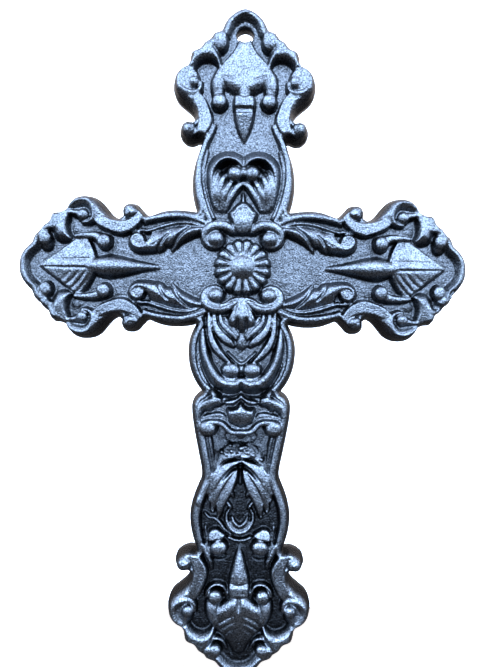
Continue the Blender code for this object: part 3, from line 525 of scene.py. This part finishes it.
# The pair of knobs, with the metal that fills in beside and between them
cross.boss(cross.upright, (8.6, 41), (2.2, 2.6), 8.6, base=7.4, power=0.8)
cross.boss(cross.upright, (0, 43.2), (1.6, 2.4), 9.8, base=7.4, power=0.8)
cross.boss(cross.upright, (4, 42.6), (4.3, 4.4), 11.3, flat=0.1, turn=-12, base=6.6, power=0.7)
cross.boss(cross.upright, (18.8, 23.4), (2.8, 2.8), 9.2)
cross.rib(cross.upright, [(0, 29.6, 0.9, 8.8), (0, 32.2, 0.8, 8.2), (0, 34.4, 0.5, 7)])

# The cup
# Below the crossing the upright swells again. A broad U-shaped leaf lies in it with two knobs, and
# four pairs of blades hang into it from the crossing.
cross.rib(cross.upright, [(17.2, -20.6, 1.1, 9), (18.4, -22.4, 1.2, 9.4), (19.6, -24.6, 1, 9.2)])
cross.rib(cross.upright, [(16.6, -53.8, 1.3, 9.6), (12.8, -57.6, 1.3, 9.6), (9.8, -60.2, 1.1, 9.2)])
cross.rib(cross.upright, [
    (19.6, -31, 0.9, 8), (20.1, -37, 1, 8.4), (19.6, -43, 1, 8.4), (17.8, -49, 1, 8.5),
    (14.4, -54.4, 1, 8.6), (10, -58.4, 0.9, 8.4)])
# The U-shaped leaf, with a thin line inside it
cross.ridge(cross.upright, [
    (17.6, -28.2, 0.9, 0.8, 9), (17.6, -31.5, 2.2, 1.4, 10.1), (17.2, -35, 3, 1.8, 10.7),
    (16.5, -39, 3.3, 1.8, 11), (15.3, -43, 3.5, 1.9, 11.2), (13.6, -46.6, 3.8, 2.2, 11.3),
    (11.2, -50, 4.4, 2.4, 11.4), (8.2, -52.2, 5, 2.7, 11.5), (4.8, -53, 5.2, 2.8, 11.5),
    (2.2, -52.5, 4.4, 2.4, 11.2), (0, -51.2, 1.4, 1.6, 10.2)], feet=(6.1, 8.2), curve=(2, 1.8))
cross.rib(cross.upright, [
    (15.4, -36, 0.6, 8.8), (15, -40, 0.8, 9.6), (13.7, -44, 0.9, 10), (11.8, -47.4, 0.9, 10.1),
    (9.2, -49.9, 0.9, 10.3), (6, -51, 0.9, 10.3), (2.6, -51, 0.9, 10.2), (0, -50.4, 0.7, 9.6)])
# The low ground under the leaf, the two knobs, and the ground between them
cross.boss(cross.upright, (8, -57), (7, 2.6), FLOOR - SINK - 2.2)
cross.boss(cross.upright, (4.8, -46.8), (4.9, 4.2), 11.6, flat=0.1, turn=6, base=5.0, power=0.55)
cross.boss(cross.upright, (0, -46.4), (1.7, 2.2), 9.2)
cross.boss(cross.upright, (0, -33.5), (3.4, 4.4), 7.8)
# The blades, outermost first, and the point where they meet
for blade in (
        [(15, -21.4, 1, 9.2), (14.8, -26, 1.3, 9.9), (14.1, -31, 1.6, 10.3),
         (12.4, -35.4, 1.9, 10.6), (9.8, -39, 1.7, 10.5), (7, -41.8, 1.2, 10.1),
         (4.8, -43.8, 0.8, 9.6)],
        [(12.6, -21, 1.1, 9.6), (12.2, -25.4, 1.5, 10.2), (10.7, -29, 2, 10.7), (8, -32, 2.2, 10.9),
         (5.4, -34, 1.8, 10.7), (3.8, -35.4, 1, 9.8)],
        [(10, -21.6, 1, 9.4), (9.3, -25, 1.3, 9.9), (7.2, -27.8, 1.5, 10.1), (4.8, -30, 1.4, 10),
         (2.8, -32.2, 1, 9.4)],
        [(7.8, -22.6, 0.8, 8.8), (6.8, -24.8, 1, 9.2), (5, -26.9, 1, 9.2), (3, -29, 0.9, 9),
         (1.6, -31, 0.8, 8.6)]):
    cross.rib(cross.upright, blade, flat=0.3)
cross.rib(cross.upright, [
    (6.4, -38.7, 0.5, 9.2), (4, -41, 0.7, 9.9), (2, -43, 0.7, 9.9), (0, -44, 0.7, 9.9)])

# The shaft
# The long lower limb has shoulders with a bracket and a bud at its head, a ragged fold of leaf over
# a draped one below it, and a brow with two knobs above the foot end. Its ground is rough as cast.
cross.boss(cross.upright, (9.2, -76.4), (5.2, 7), FLOOR - SINK - 1.6, flat=0.3, power=1.0)
cross.boss(cross.upright, (3, -77.6), (4.6, 3), FLOOR - SINK - 1.2)
cross.rib(cross.upright, [
    (16.6, -126.6, 1.4, 9.7), (15.2, -129.4, 1.3, 9.6), (13.4, -133.4, 1.1, 9.2),
    (12.6, -137, 1, 8.4)])
cross.rib(cross.upright, [
    (15.4, -74, 0.9, 7.6), (14.1, -79, 1.1, 8), (12.9, -86, 1.1, 8.1), (12.2, -92, 1.1, 8.1),
    (12.4, -97, 0.9, 7.6)], power=0.8)
cross.rib(cross.upright, [
    (15.6, -118, 0.6, 8.2), (15.1, -123, 0.7, 8.6), (14.4, -127, 0.8, 8.8), (13.2, -131, 0.8, 8.8),
    (12.4, -134, 0.7, 8.4)])
# The shoulders, the crown between them and the bud under it
cross.ridge(cross.upright, [
    (10.2, -60.8, 1.2, 3, 9.2), (13.2, -60.4, 1.6, 5.2, 9.9), (15.8, -61.2, 1.8, 5.6, 10.1),
    (18, -62.6, 1.8, 5, 10.1), (19, -65, 1.8, 3, 9.9),
    (19, -68, 1.6, 1.4, 9.7)], feet=(7.4, 5.6), curve=(1.5, 2.4))


def mirrored(right):
    """Closed outline from its right half, both ends of which lie on the midline."""
    return right + [(-a, b) for a, b in right[-2:0:-1]]


crown = smooth(mirrored([
    (0, -57.4), (1.8, -59.2), (4.4, -60), (7.6, -60.8), (7, -62.5), (3.4, -62.6),
    (0, -60.2)]), closed=True)
cross.panel(cross.front, crown, 9.2, 0.9)
lower_bud = smooth(mirrored([
    (0, -61), (2, -63.2), (4.4, -63.9), (6.2, -63.6), (6.6, -65.6), (6, -68.6), (4.4, -71),
    (0, -72.4)]), closed=True)
bud = Relief(x, z)
bud.panel(bud.front, lower_bud, 9.6, 1.7, slope=(0, -0.3))
bud.height = np.minimum(bud.height, 10.9 - 0.045 * np.clip(-65.6 - z, 0, None) ** 2)
cross.add(bud)
# The bracket: a step, a band on it and a knob at each end
cross.rib(cross.upright, [
    (0, -73.4, 1.9, 8.2), (4, -73, 1.9, 8.2), (6.2, -70.9, 2, 8.2), (8.8, -68.5, 2.2, 8.2),
    (12, -68, 1.9, 8.5), (17.4, -69.2, 1.6, 8.5)], flat=0.4)
cross.rib(cross.upright, [
    (0, -75, 1.3, 10.5), (4.2, -74.8, 1.4, 10.6), (6.3, -73.2, 1.4, 10.7), (8.2, -71.3, 1.4, 10.8),
    (10.8, -70.4, 1.5, 10.9), (14, -70.6, 1.6, 11), (17.2, -71.6, 1.4, 10.5)], flat=0.2)
cross.boss(cross.upright, (14.9, -73), (4.4, 4.2), 11.4, flat=0.25, base=5.0)
cross.boss(cross.upright, (0, -76.6), (1.7, 1.5), 9.4)
# The fold: a tent over three draped sheets, with rough lumps where the mould crumbled
cross.ridge(cross.upright, [
    (0, -86.4, 6.2, 0.8, 9.3), (3.6, -86.5, 6, 0.8, 9.3), (6.8, -87.6, 4.6, 0.8, 9.1),
    (9.6, -90, 3.2, 0.8, 8.9), (11.8, -93.4, 2, 0.8, 8.6)], feet=(6.6, 6.1), curve=(1.0, 1.6))
for sheet in (
        [(0, -88.3, 1.4, 0.8, 9.4), (2.6, -89.4, 1.8, 0.9, 9.9), (5, -91.2, 2.8, 0.9, 10.1),
         (7.4, -93.8, 4, 0.9, 10.1), (9.6, -97, 4.4, 0.9, 10), (11.4, -100.8, 3.6, 0.9, 9.5),
         (12.4, -105, 2.4, 0.9, 8.4)],
        [(2.4, -91.6, 1.6, 0.7, 9.4), (4.4, -94.4, 3, 0.8, 10), (6.8, -97.8, 3.6, 0.9, 10.2),
         (9, -101.6, 3.6, 0.9, 10), (10.6, -106, 2.8, 0.9, 9.2), (11.4, -110, 2, 0.8, 8)],
        [(1.3, -92, 1.4, 0.6, 9.4), (1.8, -95.6, 3.2, 0.8, 10), (2.9, -99, 4.2, 0.9, 10.2),
         (4.4, -102.6, 4.4, 0.9, 10.1), (6.2, -106, 3.8, 0.9, 9.7), (7.8, -109.4, 3, 0.8, 9.1),
         (8.8, -113, 1.4, 0.8, 8.1)]):
    cross.ridge(cross.upright, sheet, feet=(9.0, 6.1), curve=(1.0, 1.6))
for lump in (
        (-3.8, -83.6, 1.6), (0.6, -82.6, 1.9), (3.2, -84.2, 2.2), (-1.4, -85, 1.4),
        (5.6, -85.4, 1.5), (-6.2, -85.2, 1.4), (-8.4, -84, 1.1), (9.4, -87.4, 1.3), (2.4, -81.8, 1),
        (-4.6, -80.8, 0.9)):
    cross.boss(cross.front, lump[:2], (lump[2], 0.7 * lump[2]), 9.3, base=7.6, turn=-20, power=0.8)
cross.groove(cross.front, [
    (-8.2, -88.8, 0.4, 0.5), (-4.6, -87.7, 0.6, 1.1), (0, -87.1, 0.6, 1.2), (4.4, -87.2, 0.6, 1.1),
    (7, -88.2, 0.4, 0.5)])
cross.groove(cross.upright, [
    (0, -90.3, 1, 2.2), (3.2, -91.6, 1, 2.2), (5.8, -93.8, 0.8, 1.6), (8.2, -96.6, 0.5, 0.6)])
cross.boss(cross.upright, (0, -95.4), (1.3, 4.8), FLOOR - SINK - 2)
# The small leaf inside the fold, drawn in thin lines
for line in (
        [(4.2, -101.4, 0.7, 8.8), (3.5, -103, 0.8, 9.3), (3.1, -104.4, 0.7, 8.8)],
        [(5.8, -106.8, 0.7, 8.6), (4.6, -108.4, 0.8, 9.1), (3.9, -109.6, 0.7, 8.6)],
        [(4.4, -110, 0.6, 7.8), (5.8, -112, 0.7, 8.3), (6, -115, 0.8, 8.8), (4.7, -118, 0.9, 9.1),
         (2.6, -120.1, 0.9, 9.2), (0, -120.9, 0.9, 9.2)],
        [(3.5, -113.8, 0.7, 8.3), (2.4, -116.2, 0.8, 8.8), (0, -118.1, 0.8, 8.8)],
        [(5, -122.9, 0.7, 8.8), (2.4, -124, 0.7, 8.6), (0, -124.4, 0.7, 8.6)]):
    cross.rib(cross.upright, line)
cross.panel(cross.front, mirrored([
    (0, -117.6), (3, -115.4), (5.4, -115.2), (4.4, -118.2), (2.2, -120), (0, -120.6)]), 8.2, 0.6)
# The hairline on the left and the lump on the rim above it
cross.rib(cross.front, [
    (-16, -112, 0.6, 8), (-14, -114, 0.7, 8.3), (-11.4, -114.3, 0.7, 8.5), (-9.2, -116, 0.8, 8.7),
    (-7.2, -118.8, 0.8, 8.7), (-3.6, -121.8, 0.7, 8.4)])
cross.rib(cross.front, [(-18.6, -104.8, 0.9, 9.6), (-18.9, -106.6, 1.3, 9.9), (-19, -108.8, 0.9, 9.6)])
# The brow, its two knobs and the low ground under them
cross.panel(cross.upright, smooth([
    (6, -121.6), (8.2, -119.8), (10.4, -118.6), (12.8, -119), (14.4, -121), (14, -124.4),
    (11, -124.1), (8, -123.6)], closed=True), 9.9, 0.7, slope=(0, -0.26))
cross.boss(cross.upright, (9.4, -127.3), (4.4, 3.9), 11.2, flat=0.2, turn=-8, base=5.0)
cross.boss(cross.upright, (9.6, -132), (4, 1.8), FLOOR - SINK - 1.4)

# The crossing
# A domed rosette with sixteen petals sits in the middle. Above and below it a bracket ends in two
# volutes, with a bud over the upper one and a ribbed palmette hanging from the lower one.
PETALS = 16
ROSETTE = 13.2
DOME = 7.4
# The two brackets, and a ball in each volute
cross.boss(cross.arms, (12.6, 13.2), (5.8, 5.7), 7.6, flat=0.4)
bracket = [
    (7, 18.2, 2.5, 10.9), (10.4, 18.9, 2.6, 11.3), (14, 18.2, 2.5, 11.5), (16.8, 16, 2.2, 11.3),
    (17.3, 13.2, 1.9, 10.8), (15.9, 10.4, 1.6, 10.3), (13, 9.2, 1.3, 10), (10.1, 9.8, 1.1, 9.8),
    (8.7, 11.8, 0.9, 9.6)]
upper = [(3.2, 15.9, 1.2, 8.8), (4.6, 16.5, 1.8, 10), *bracket]
lower = [(0, 14.6, 1.6, 9.6), (3.4, 15.5, 2.1, 10), *bracket]
for hand in (-1, 1):
    cross.rib(cross.front, [(hand * a, b, w, h) for a, b, w, h in upper])
    cross.rib(cross.front, [(hand * a, -b, w, h) for a, b, w, h in lower])
    cross.groove(cross.front, [(hand * a, b, w, h) for a, b, w, h in [
        (2, -14.8, 0.4, 0.2), (5, -16, 0.6, 0.7), (9, -17.6, 0.6, 0.8), (13, -17.7, 0.6, 0.8),
        (15.6, -16.2, 0.5, 0.5)]])
cross.boss(cross.arms, (12.3, 12.9), (4.4, 4.2), 11.9, flat=0.1, base=5.6, power=0.55)
# The bud above and the palmette below
upper_bud = smooth(mirrored([
    (0, 30.6), (1.9, 30), (3.7, 28.4), (5.2, 26.6), (7, 24.8), (5.8, 20.6), (4.6, 17.4),
    (3.2, 15.6), (0, 14.8)]), closed=True)
bud = Relief(x, z)
bud.panel(bud.front, upper_bud, 9.6, 2.4, slope=(0, -0.17))
hang = 11.2 - 0.032 * np.clip(22.4 - z, 0, None) ** 2
bud.height = np.minimum(bud.height, hang)
bud.groove(bud.upright, [
    (6, 24.2, 0.5, 0.2), (4.4, 23.4, 0.6, 0.4), (2.9, 24.2, 0.6, 0.5), (1.6, 26.4, 0.6, 0.5),
    (0.7, 26.4, 0.6, 0.4), (0, 25.2, 0.6, 0.3)])
cross.add(bud)
fan = smooth(mirrored([
    (0, -13.4), (2.4, -15), (4.2, -18), (5.7, -21), (6.6, -24), (5.8, -26.4), (3.8, -27.2),
    (2.2, -28.8), (0, -31.4)]), closed=True)
palmette = Relief(x, z)
palmette.panel(palmette.front, fan, 9.4, 1.7, slope=(0, -0.24))
hang = 11.4 - 0.06 * np.clip(-21.4 - z, 0, None) ** 2
palmette.height = np.minimum(palmette.height, hang)
for line in (
        [(1.9, -16.4, 0.5, 0.3), (3, -19, 0.6, 0.8), (3.9, -22, 0.7, 0.9), (4.1, -23.6, 0.6, 0.5)],
        [(0.7, -17.5, 0.5, 0.15), (1.3, -20, 0.6, 0.4), (1.7, -22.6, 0.7, 0.6), (2, -25, 1, 1.2),
         (2.1, -28, 0.9, 1)]):
    palmette.groove(palmette.upright, line)
cross.add(palmette)
# The rosette: petals parted by slits, round a dome
out = np.hypot(x, z)
part = np.arctan2(z, x) * PETALS / (2 * np.pi)
part = np.abs(part - np.round(part))
beside = out * np.sin(part * 2 * np.pi / PETALS)
slit = np.clip(1 - beside / (0.25 + 0.03 * (out - 6)), 0, 1) ** 0.8
slit = slit * np.clip((out - 6.6) / 2, 0, 1) * 0.9
far = ROSETTE - 0.7 * (1 - 2 * part) ** 2
t = np.clip((out - 8) / (far - 8), 0, 1)
petals = 6.1 + (3.9 + 0.8 * np.sqrt(2 * part)) * (1 - t ** 5) ** 0.6 - 2.2 * slit
on = np.flatnonzero(out < far)
cross.raise_to(on, petals[on])
cross.boss(cross.front, (0, 0), (DOME, DOME), 12.8, base=8.6, power=0.85)

# The edge
# The pattern was drawn from the sand with rounded sides: the rim follows the whole outline and
# rolls down to a short straight edge at the wall, and nothing carved stands up beyond it.
EDGE = 2.5
RIM = 9.6
ROLL = 3.5
RIM_IN = 3.2
CAP = 11.4
CAP_ROLL = 4.4
BAY_ROLL = 4.0
rim_height = EDGE + (RIM - EDGE) * np.sqrt(1 - np.clip(1 - depth / ROLL, 0, 1) ** 2)
shaft = np.clip((-z - 66) / 8, 0, 1) * np.clip((z + 128) / 4, 0, 1)
stem = (np.abs(x) < 26) & (z < -24) & (z > -57)
tip = np.clip((cross.ends[0] - 88) / 4, 0, 1) * np.clip((16 - cross.ends[1]) / 3, 0, 1)
rim_in = RIM_IN + 1.3 * shaft + 0.5 * stem + 0.5 * tip
rim_height -= (2.2 - 0.9 * tip) * np.clip(depth - rim_in, 0, None)
bay = np.clip(1.15 - np.hypot((cross.ends[0] - 62) / 7, (cross.ends[1] - 27) / 7), 0, 1)
cap_roll = CAP_ROLL + BAY_ROLL * bay
cap = EDGE + (CAP - EDGE) * np.sqrt(1 - np.clip(1 - depth / cap_roll, 0, 1) ** 2)
thick = np.maximum(cross.height, rim_height)
thick = np.where(depth < cap_roll, np.minimum(thick, cap), thick)

# The casting
# Sand leaves its grain on the ground, a slight waviness everywhere, and a few flaws at the edge. The
# sides go straight back to the wall and the back is flat. The mesh is thinned where it is plain.
GRAIN = 0.05
WAVE = 0.06
RAGGED = 0.8
FLASH = 1.8
NOTCH = 2.4
CRISP = 0.27
HOLLOW_ROUNDS = 60
ROUNDS = 2
SHARE = 0.35
TRIANGLES = 190000
rng = np.random.default_rng(7)


def roughness(size):
    """Random bumps of a given size over the sheet, from -1 to 1."""
    a = (x - x.min()) / size
    b = (z - z.min()) / size
    lattice = rng.uniform(-1, 1, (int(a.max()) + 3, int(b.max()) + 3))
    i, j = a.astype(int), b.astype(int)
    s, t = a - i, b - j
    s, t = s * s * (3 - 2 * s), t * t * (3 - 2 * t)
    low = lattice[i, j] * (1 - s) + lattice[i + 1, j] * s
    high = lattice[i, j + 1] * (1 - s) + lattice[i + 1, j + 1] * s
    return low * (1 - t) + high * t


def ease(height, rounds, share):
    """Soften the casting: each point moves part of the way to its neighbours' mean."""
    pairs = np.array([(e.verts[0].index, e.verts[1].index) for e in bm.edges])
    a, b = pairs[:, 0], pairs[:, 1]
    count = np.bincount(pairs.ravel(), minlength=len(height))
    for _ in range(rounds):
        total = np.bincount(a, height[b], len(height)) + np.bincount(b, height[a], len(height))
        height = height + share * (total / count - height)
    return height


thick = ease(thick, ROUNDS, SHARE)
hollow = thick - ease(thick, HOLLOW_ROUNDS, 0.5)
thick += CRISP * np.where(hollow < 0, hollow, 0.4 * hollow) * np.clip(depth / 3, 0, 1)
ground = np.clip((8.4 - thick) / 1.2, 0, 1) * np.clip((depth - 3) / 1.5, 0, 1)
thick += GRAIN * (roughness(0.5) + 0.4 * roughness(0.8)) * (0.3 + ground)
from_hole = np.hypot(x, z - HOLE_AT) - HOLE_RADIUS
thick = np.minimum(thick, FLOOR + 1.4 + 2.6 * np.clip(from_hole - 0.3, 0, None))
flash = np.clip(1.3 - np.hypot((x - 95) / 4.5, (z + 11.8) / 3), 0, 1) * (depth < 3)
notch = np.clip(1.4 - np.hypot((x - 88) / 2.2, (z + 17.2) / 1.6), 0, 1)
scar = np.clip(1.3 - np.hypot((x + 87) / 2, (z + 18) / 2.4), 0, 1)
thick += FLASH * flash * roughness(0.9) - NOTCH * (notch + 0.6 * scar)
ragged = np.clip(1.2 - np.hypot(x / 12, (z + 85) / 6.5), 0, 1)
thick += RAGGED * ragged * (roughness(1.3) + 0.6 * roughness(2.4))
thick += WAVE * (roughness(3.0) + 0.8 * roughness(9.0)) * np.clip(depth / 2, 0, 1)
for v, px, py, pz in zip(bm.verts, x, -thick, z):
    v.co = (px * MM, py * MM, (pz - HOLE_AT) * MM)
bmesh.ops.remove_doubles(bm, verts=bm.verts[:], dist=0.05 * MM)
border = [e for e in bm.edges if e.is_boundary]
front_edge = list(dict.fromkeys(v for e in border for v in e.verts))
back_points = [bm.verts.new((v.co.x, 0.0, v.co.z)) for v in front_edge]
spot = {v: k for k, v in enumerate(front_edge)}
rings = [(spot[e.verts[0]], spot[e.verts[1]]) for e in border]
for e, (a, b) in zip(border, rings):
    bm.faces.new((e.verts[0], e.verts[1], back_points[b], back_points[a]))
flat_points = [(v.co.x, v.co.z) for v in back_points]
_, _, sheets, origin, _, _ = delaunay_2d_cdt(flat_points, rings, [], 0, 1e-9)
middles = np.array([[sum(back_points[origin[k][0]].co[axis] for k in sheet) / 3 for axis in (0, 2)]
                    for sheet in sheets])
middles = middles / MM + (0, HOLE_AT)
solid = within(middles[:, 0], middles[:, 1], outline)
solid &= np.hypot(middles[:, 0], middles[:, 1] - HOLE_AT) > HOLE_RADIUS
for sheet, keep in zip(sheets, solid):
    if keep:
        bm.faces.new([back_points[origin[k][0]] for k in sheet])
bmesh.ops.triangulate(bm, faces=bm.faces[:])
bmesh.ops.recalc_face_normals(bm, faces=bm.faces[:])
whole = bpy.data.meshes.new("whole")
bm.to_mesh(whole)
bm.free()
casting = bpy.data.objects.new("cast_relief", whole)
bpy.context.scene.collection.objects.link(casting)
thin = casting.modifiers.new("thin", "DECIMATE")
thin.ratio = min(1.0, TRIANGLES / len(whole.polygons))
bpy.context.view_layer.update()
final = bpy.data.meshes.new_from_object(casting.evaluated_get(bpy.context.evaluated_depsgraph_get()))
casting.modifiers.clear()
casting.data = final
final.name = "cast_relief"
final.shade_smooth()
for face in final.polygons:
    face.use_smooth = face.normal.y < 0.9
print("casting", len(final.polygons), "triangles")

# The finish
# A thin coat of blue-grey metallic paint over the raw casting, glossier on the crests than on the
# ground between them. Its colour holds painted light: painted shade on the low ground and the sides,
# painted shade deepening down the shaft and foot, and a painted highlight on the crests there.
# The ground paint is darker than the crest paint: painted shade on the low ground between the forms.
SHADED_GROUND_PAINT = (0.09, 0.0995, 0.1135, 1)
CREST_PAINT = (0.13, 0.1455, 0.1665, 1)
GROUND_Y, CREST_Y = -0.0070, -0.0098
BACK_FROM, BACK_TO = -0.004, -0.0005
# Painted shade on the ground of the shaft and foot, darker towards the bottom.
LOW_SHADE_FROM_Z, LOW_SHADE_FULL_Z = -0.175, -0.193
LOW_SHADE = 0.30
# Painted highlight on the crests, growing towards the foot.
HIGHLIGHT_FROM_Z, HIGHLIGHT_FULL_Z = -0.125, -0.215
FOOT_HIGHLIGHT = 1.35
# Painted shade on the sides: faces turned away from the front and back are darker.
SIDE_SHADE = 0.32
GRAIN_SCALE, FLECK_SCALE, BLOTCH_SCALE = 1500.0, 1450.0, 120.0
GROUND_ROUGH, CREST_ROUGH = 0.31, 0.28
GROUND_SAND, CREST_SAND = 0.00034, 0.00028
iron = bpy.data.materials.new("painted_cast_iron")
iron.use_nodes = True
nodes, links = iron.node_tree.nodes, iron.node_tree.links
shader = nodes["Principled BSDF"]
at = nodes.new("ShaderNodeTexCoord").outputs["Object"]


def node(kind, inputs=None, **settings):
    """New node in the finish or the sky; an input is linked or takes a plain value."""
    made = nodes.new(kind)
    for key, value in settings.items():
        setattr(made, key, value)
    for key, value in (inputs or {}).items():
        if hasattr(value, "is_output"):
            links.new(value, made.inputs[key])
        else:
            made.inputs[key].default_value = value
    return made


def ramp(value, low, high, start=0.0, end=1.0, kind="SMOOTHSTEP"):
    """Goes from start to end while the value goes from low to high."""
    return node("ShaderNodeMapRange", {0: value, 1: low, 2: high, 3: start, 4: end},
                interpolation_type=kind).outputs[0]


def mixed(share, first, second, how="MIX"):
    """Colour between two others, or their product."""
    return node("ShaderNodeMix", {0: share, 6: first, 7: second},
                data_type="RGBA", blend_type=how).outputs[2]


def math_of(operation, *values):
    """Arithmetic on one or two values."""
    return node("ShaderNodeMath", dict(enumerate(values)), operation=operation).outputs[0]


def mottle(scale, detail, rough):
    """Random pattern through the metal."""
    return node("ShaderNodeTexNoise", {"Vector": at, "Scale": scale, "Detail": detail,
                                       "Roughness": rough}).outputs["Fac"]


axes = node("ShaderNodeSeparateXYZ", {0: at}).outputs
crest = ramp(axes["Y"], GROUND_Y, CREST_Y)
grain = mottle(GRAIN_SCALE, 1.5, 0.55)
stain = ramp(mottle(BLOTCH_SCALE, 4.0, 0.6), 0.35, 0.7, 0.82, 1.08, "LINEAR")
sparkle = ramp(mottle(FLECK_SCALE, 1.0, 0.6), 0.30, 0.74, 0.35, 1.9, "LINEAR")
# Painted shade: the ground darkens towards the bottom of the shaft and foot.
painted_low_shade = ramp(axes["Z"], LOW_SHADE_FROM_Z, LOW_SHADE_FULL_Z, 1.0, LOW_SHADE)
# Painted highlight: the crests and the back grow lighter towards the foot.
painted_foot_highlight = ramp(axes["Z"], HIGHLIGHT_FROM_Z, HIGHLIGHT_FULL_Z, 1.0, FOOT_HIGHLIGHT)
behind = ramp(axes["Y"], BACK_FROM, BACK_TO, kind="LINEAR")
# The crests and the back take the painted highlight, the rest of the ground the painted shade.
crest_or_back = math_of("MAXIMUM", crest, behind)
painted_low_shade_and_highlight = node("ShaderNodeMix", {0: crest_or_back, 2: painted_low_shade, 3: painted_foot_highlight}).outputs[0]
shade = math_of("MULTIPLY", math_of("MULTIPLY", stain, sparkle), painted_low_shade_and_highlight)
# The darker ground colour is painted shade between the raised forms.
painted = mixed(1.0, mixed(crest, SHADED_GROUND_PAINT, CREST_PAINT), shade, "MULTIPLY")
# Painted shade: faces turned away from the front and back, the sides most, are painted darker.
faces = nodes.new("ShaderNodeTexCoord").outputs["Normal"]
facing = node("ShaderNodeSeparateXYZ", {0: faces}).outputs["Y"]
side = ramp(math_of("ABSOLUTE", facing), 0.3, 0.92, SIDE_SHADE, 1.0)
links.new(mixed(1.0, painted, side, "MULTIPLY"), shader.inputs["Base Color"])
gloss = ramp(crest, 0.0, 1.0, GROUND_ROUGH, CREST_ROUGH, "LINEAR")
links.new(gloss, shader.inputs["Roughness"])
shader.inputs["Metallic"].default_value = 1.0
sand = ramp(crest, 0.0, 1.0, GROUND_SAND, CREST_SAND, "LINEAR")
bump = node("ShaderNodeBump", {"Height": grain, "Distance": sand, "Strength": 1.0})
links.new(bump.outputs[0], shader.inputs["Normal"])
final.materials.clear()
final.materials.append(iron)
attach(casting, "root")
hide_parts("cross_casting")

# The studio
# A pale bowl-shaped backdrop with a flat floor. It glows a little, and it neither lights the cross
# nor shows in its paint.
FLOOR_AT = -0.75
BOWL = 1.4
TALL = 2.6
TURNS = 48
PAPER = (0.85, 0.85, 0.85, 1)
GLOW = 0.8
profile = [(0.9, FLOOR_AT), (1.15, FLOOR_AT + 0.05), (1.32, FLOOR_AT + 0.2),
           (BOWL, FLOOR_AT + 0.5), (BOWL, FLOOR_AT + TALL)]
bowl = bmesh.new()
rings = []
for radius, level in profile:
    angles = [2 * math.pi * k / TURNS for k in range(TURNS)]
    rings.append([bowl.verts.new((radius * math.cos(a), radius * math.sin(a), level)) for a in angles])
bowl.faces.new(rings[0])
for low, high in zip(rings, rings[1:]):
    for k in range(TURNS):
        after = (k + 1) % TURNS
        bowl.faces.new((low[k], low[after], high[after], high[k]))
bowl_mesh = bpy.data.meshes.new("studio_backdrop")
bowl.to_mesh(bowl_mesh)
bowl.free()
bowl_mesh.shade_smooth()
backdrop = bpy.data.objects.new("studio_backdrop", bowl_mesh)
bpy.context.scene.collection.objects.link(backdrop)
paper = bpy.data.materials.new("pale_paper")
paper.use_nodes = True
surface = paper.node_tree.nodes["Principled BSDF"].inputs
surface["Base Color"].default_value = PAPER
surface["Roughness"].default_value = 1.0
surface["Emission Color"].default_value = (1, 1, 1, 1)
surface["Emission Strength"].default_value = GLOW
bowl_mesh.materials.append(paper)
backdrop.visible_diffuse = False
backdrop.visible_glossy = False
backdrop.visible_shadow = False

# The light
# One broad soft sky in front and above, dimmer overhead and behind, and little light from below. It
# is the only light, and the paint mirrors it all round.
FRONT_LIGHT = (1.15, 1.47, 1.96, 1)
BACK_LIGHT = (0.24, 0.22, 0.22, 1)
OVERHEAD = (0.30, 0.32, 0.42, 1)
FROM_BELOW = (0.036, 0.035, 0.037, 1)
STRENGTH = 4.3
world = bpy.data.worlds.new("soft_sky")
bpy.context.scene.world = world
world.use_nodes = True
nodes, links = world.node_tree.nodes, world.node_tree.links
way = node("ShaderNodeSeparateXYZ", {0: nodes.new("ShaderNodeTexCoord").outputs["Generated"]}).outputs
round_about = mixed(ramp(way["Y"], 0.3, -0.5), BACK_LIGHT, FRONT_LIGHT)
above = mixed(ramp(way["Z"], 0.70, 1.0), round_about, OVERHEAD)
lift = ramp(way["Z"], 0.12, 0.5, 1.0, 1.06)
lifted = node("ShaderNodeVectorMath", {0: above, "Scale": lift}, operation="SCALE").outputs[0]
sky = mixed(ramp(way["Z"], -0.24, 0.34), FROM_BELOW, lifted)
links.new(sky, nodes["Background"].inputs["Color"])
nodes["Background"].inputs["Strength"].default_value = STRENGTH

# The camera
# Square on to the wall, a little below the crossing and close, so the sides show a little. The 36 mm
# of its sensor span the picture's height, and it is rolled by less than a degree.
SENSOR = 36
FRAME_WIDE, FRAME_TALL = 500, 667
CAMERA_AT = (0.00375, -0.236, -0.13692)
ROLL_DEGREES = -0.65
camera_data = bpy.data.cameras.new("camera")
camera_data.lens = SENSOR * FRAME_WIDE / FRAME_TALL
camera_data.clip_start = 0.01
camera = bpy.data.objects.new("camera", camera_data)
bpy.context.scene.collection.objects.link(camera)
camera.location = CAMERA_AT
camera.rotation_euler = (math.radians(90), math.radians(ROLL_DEGREES), 0)
bpy.context.scene.camera = camera
bpy.context.scene.view_settings.view_transform = "Standard"
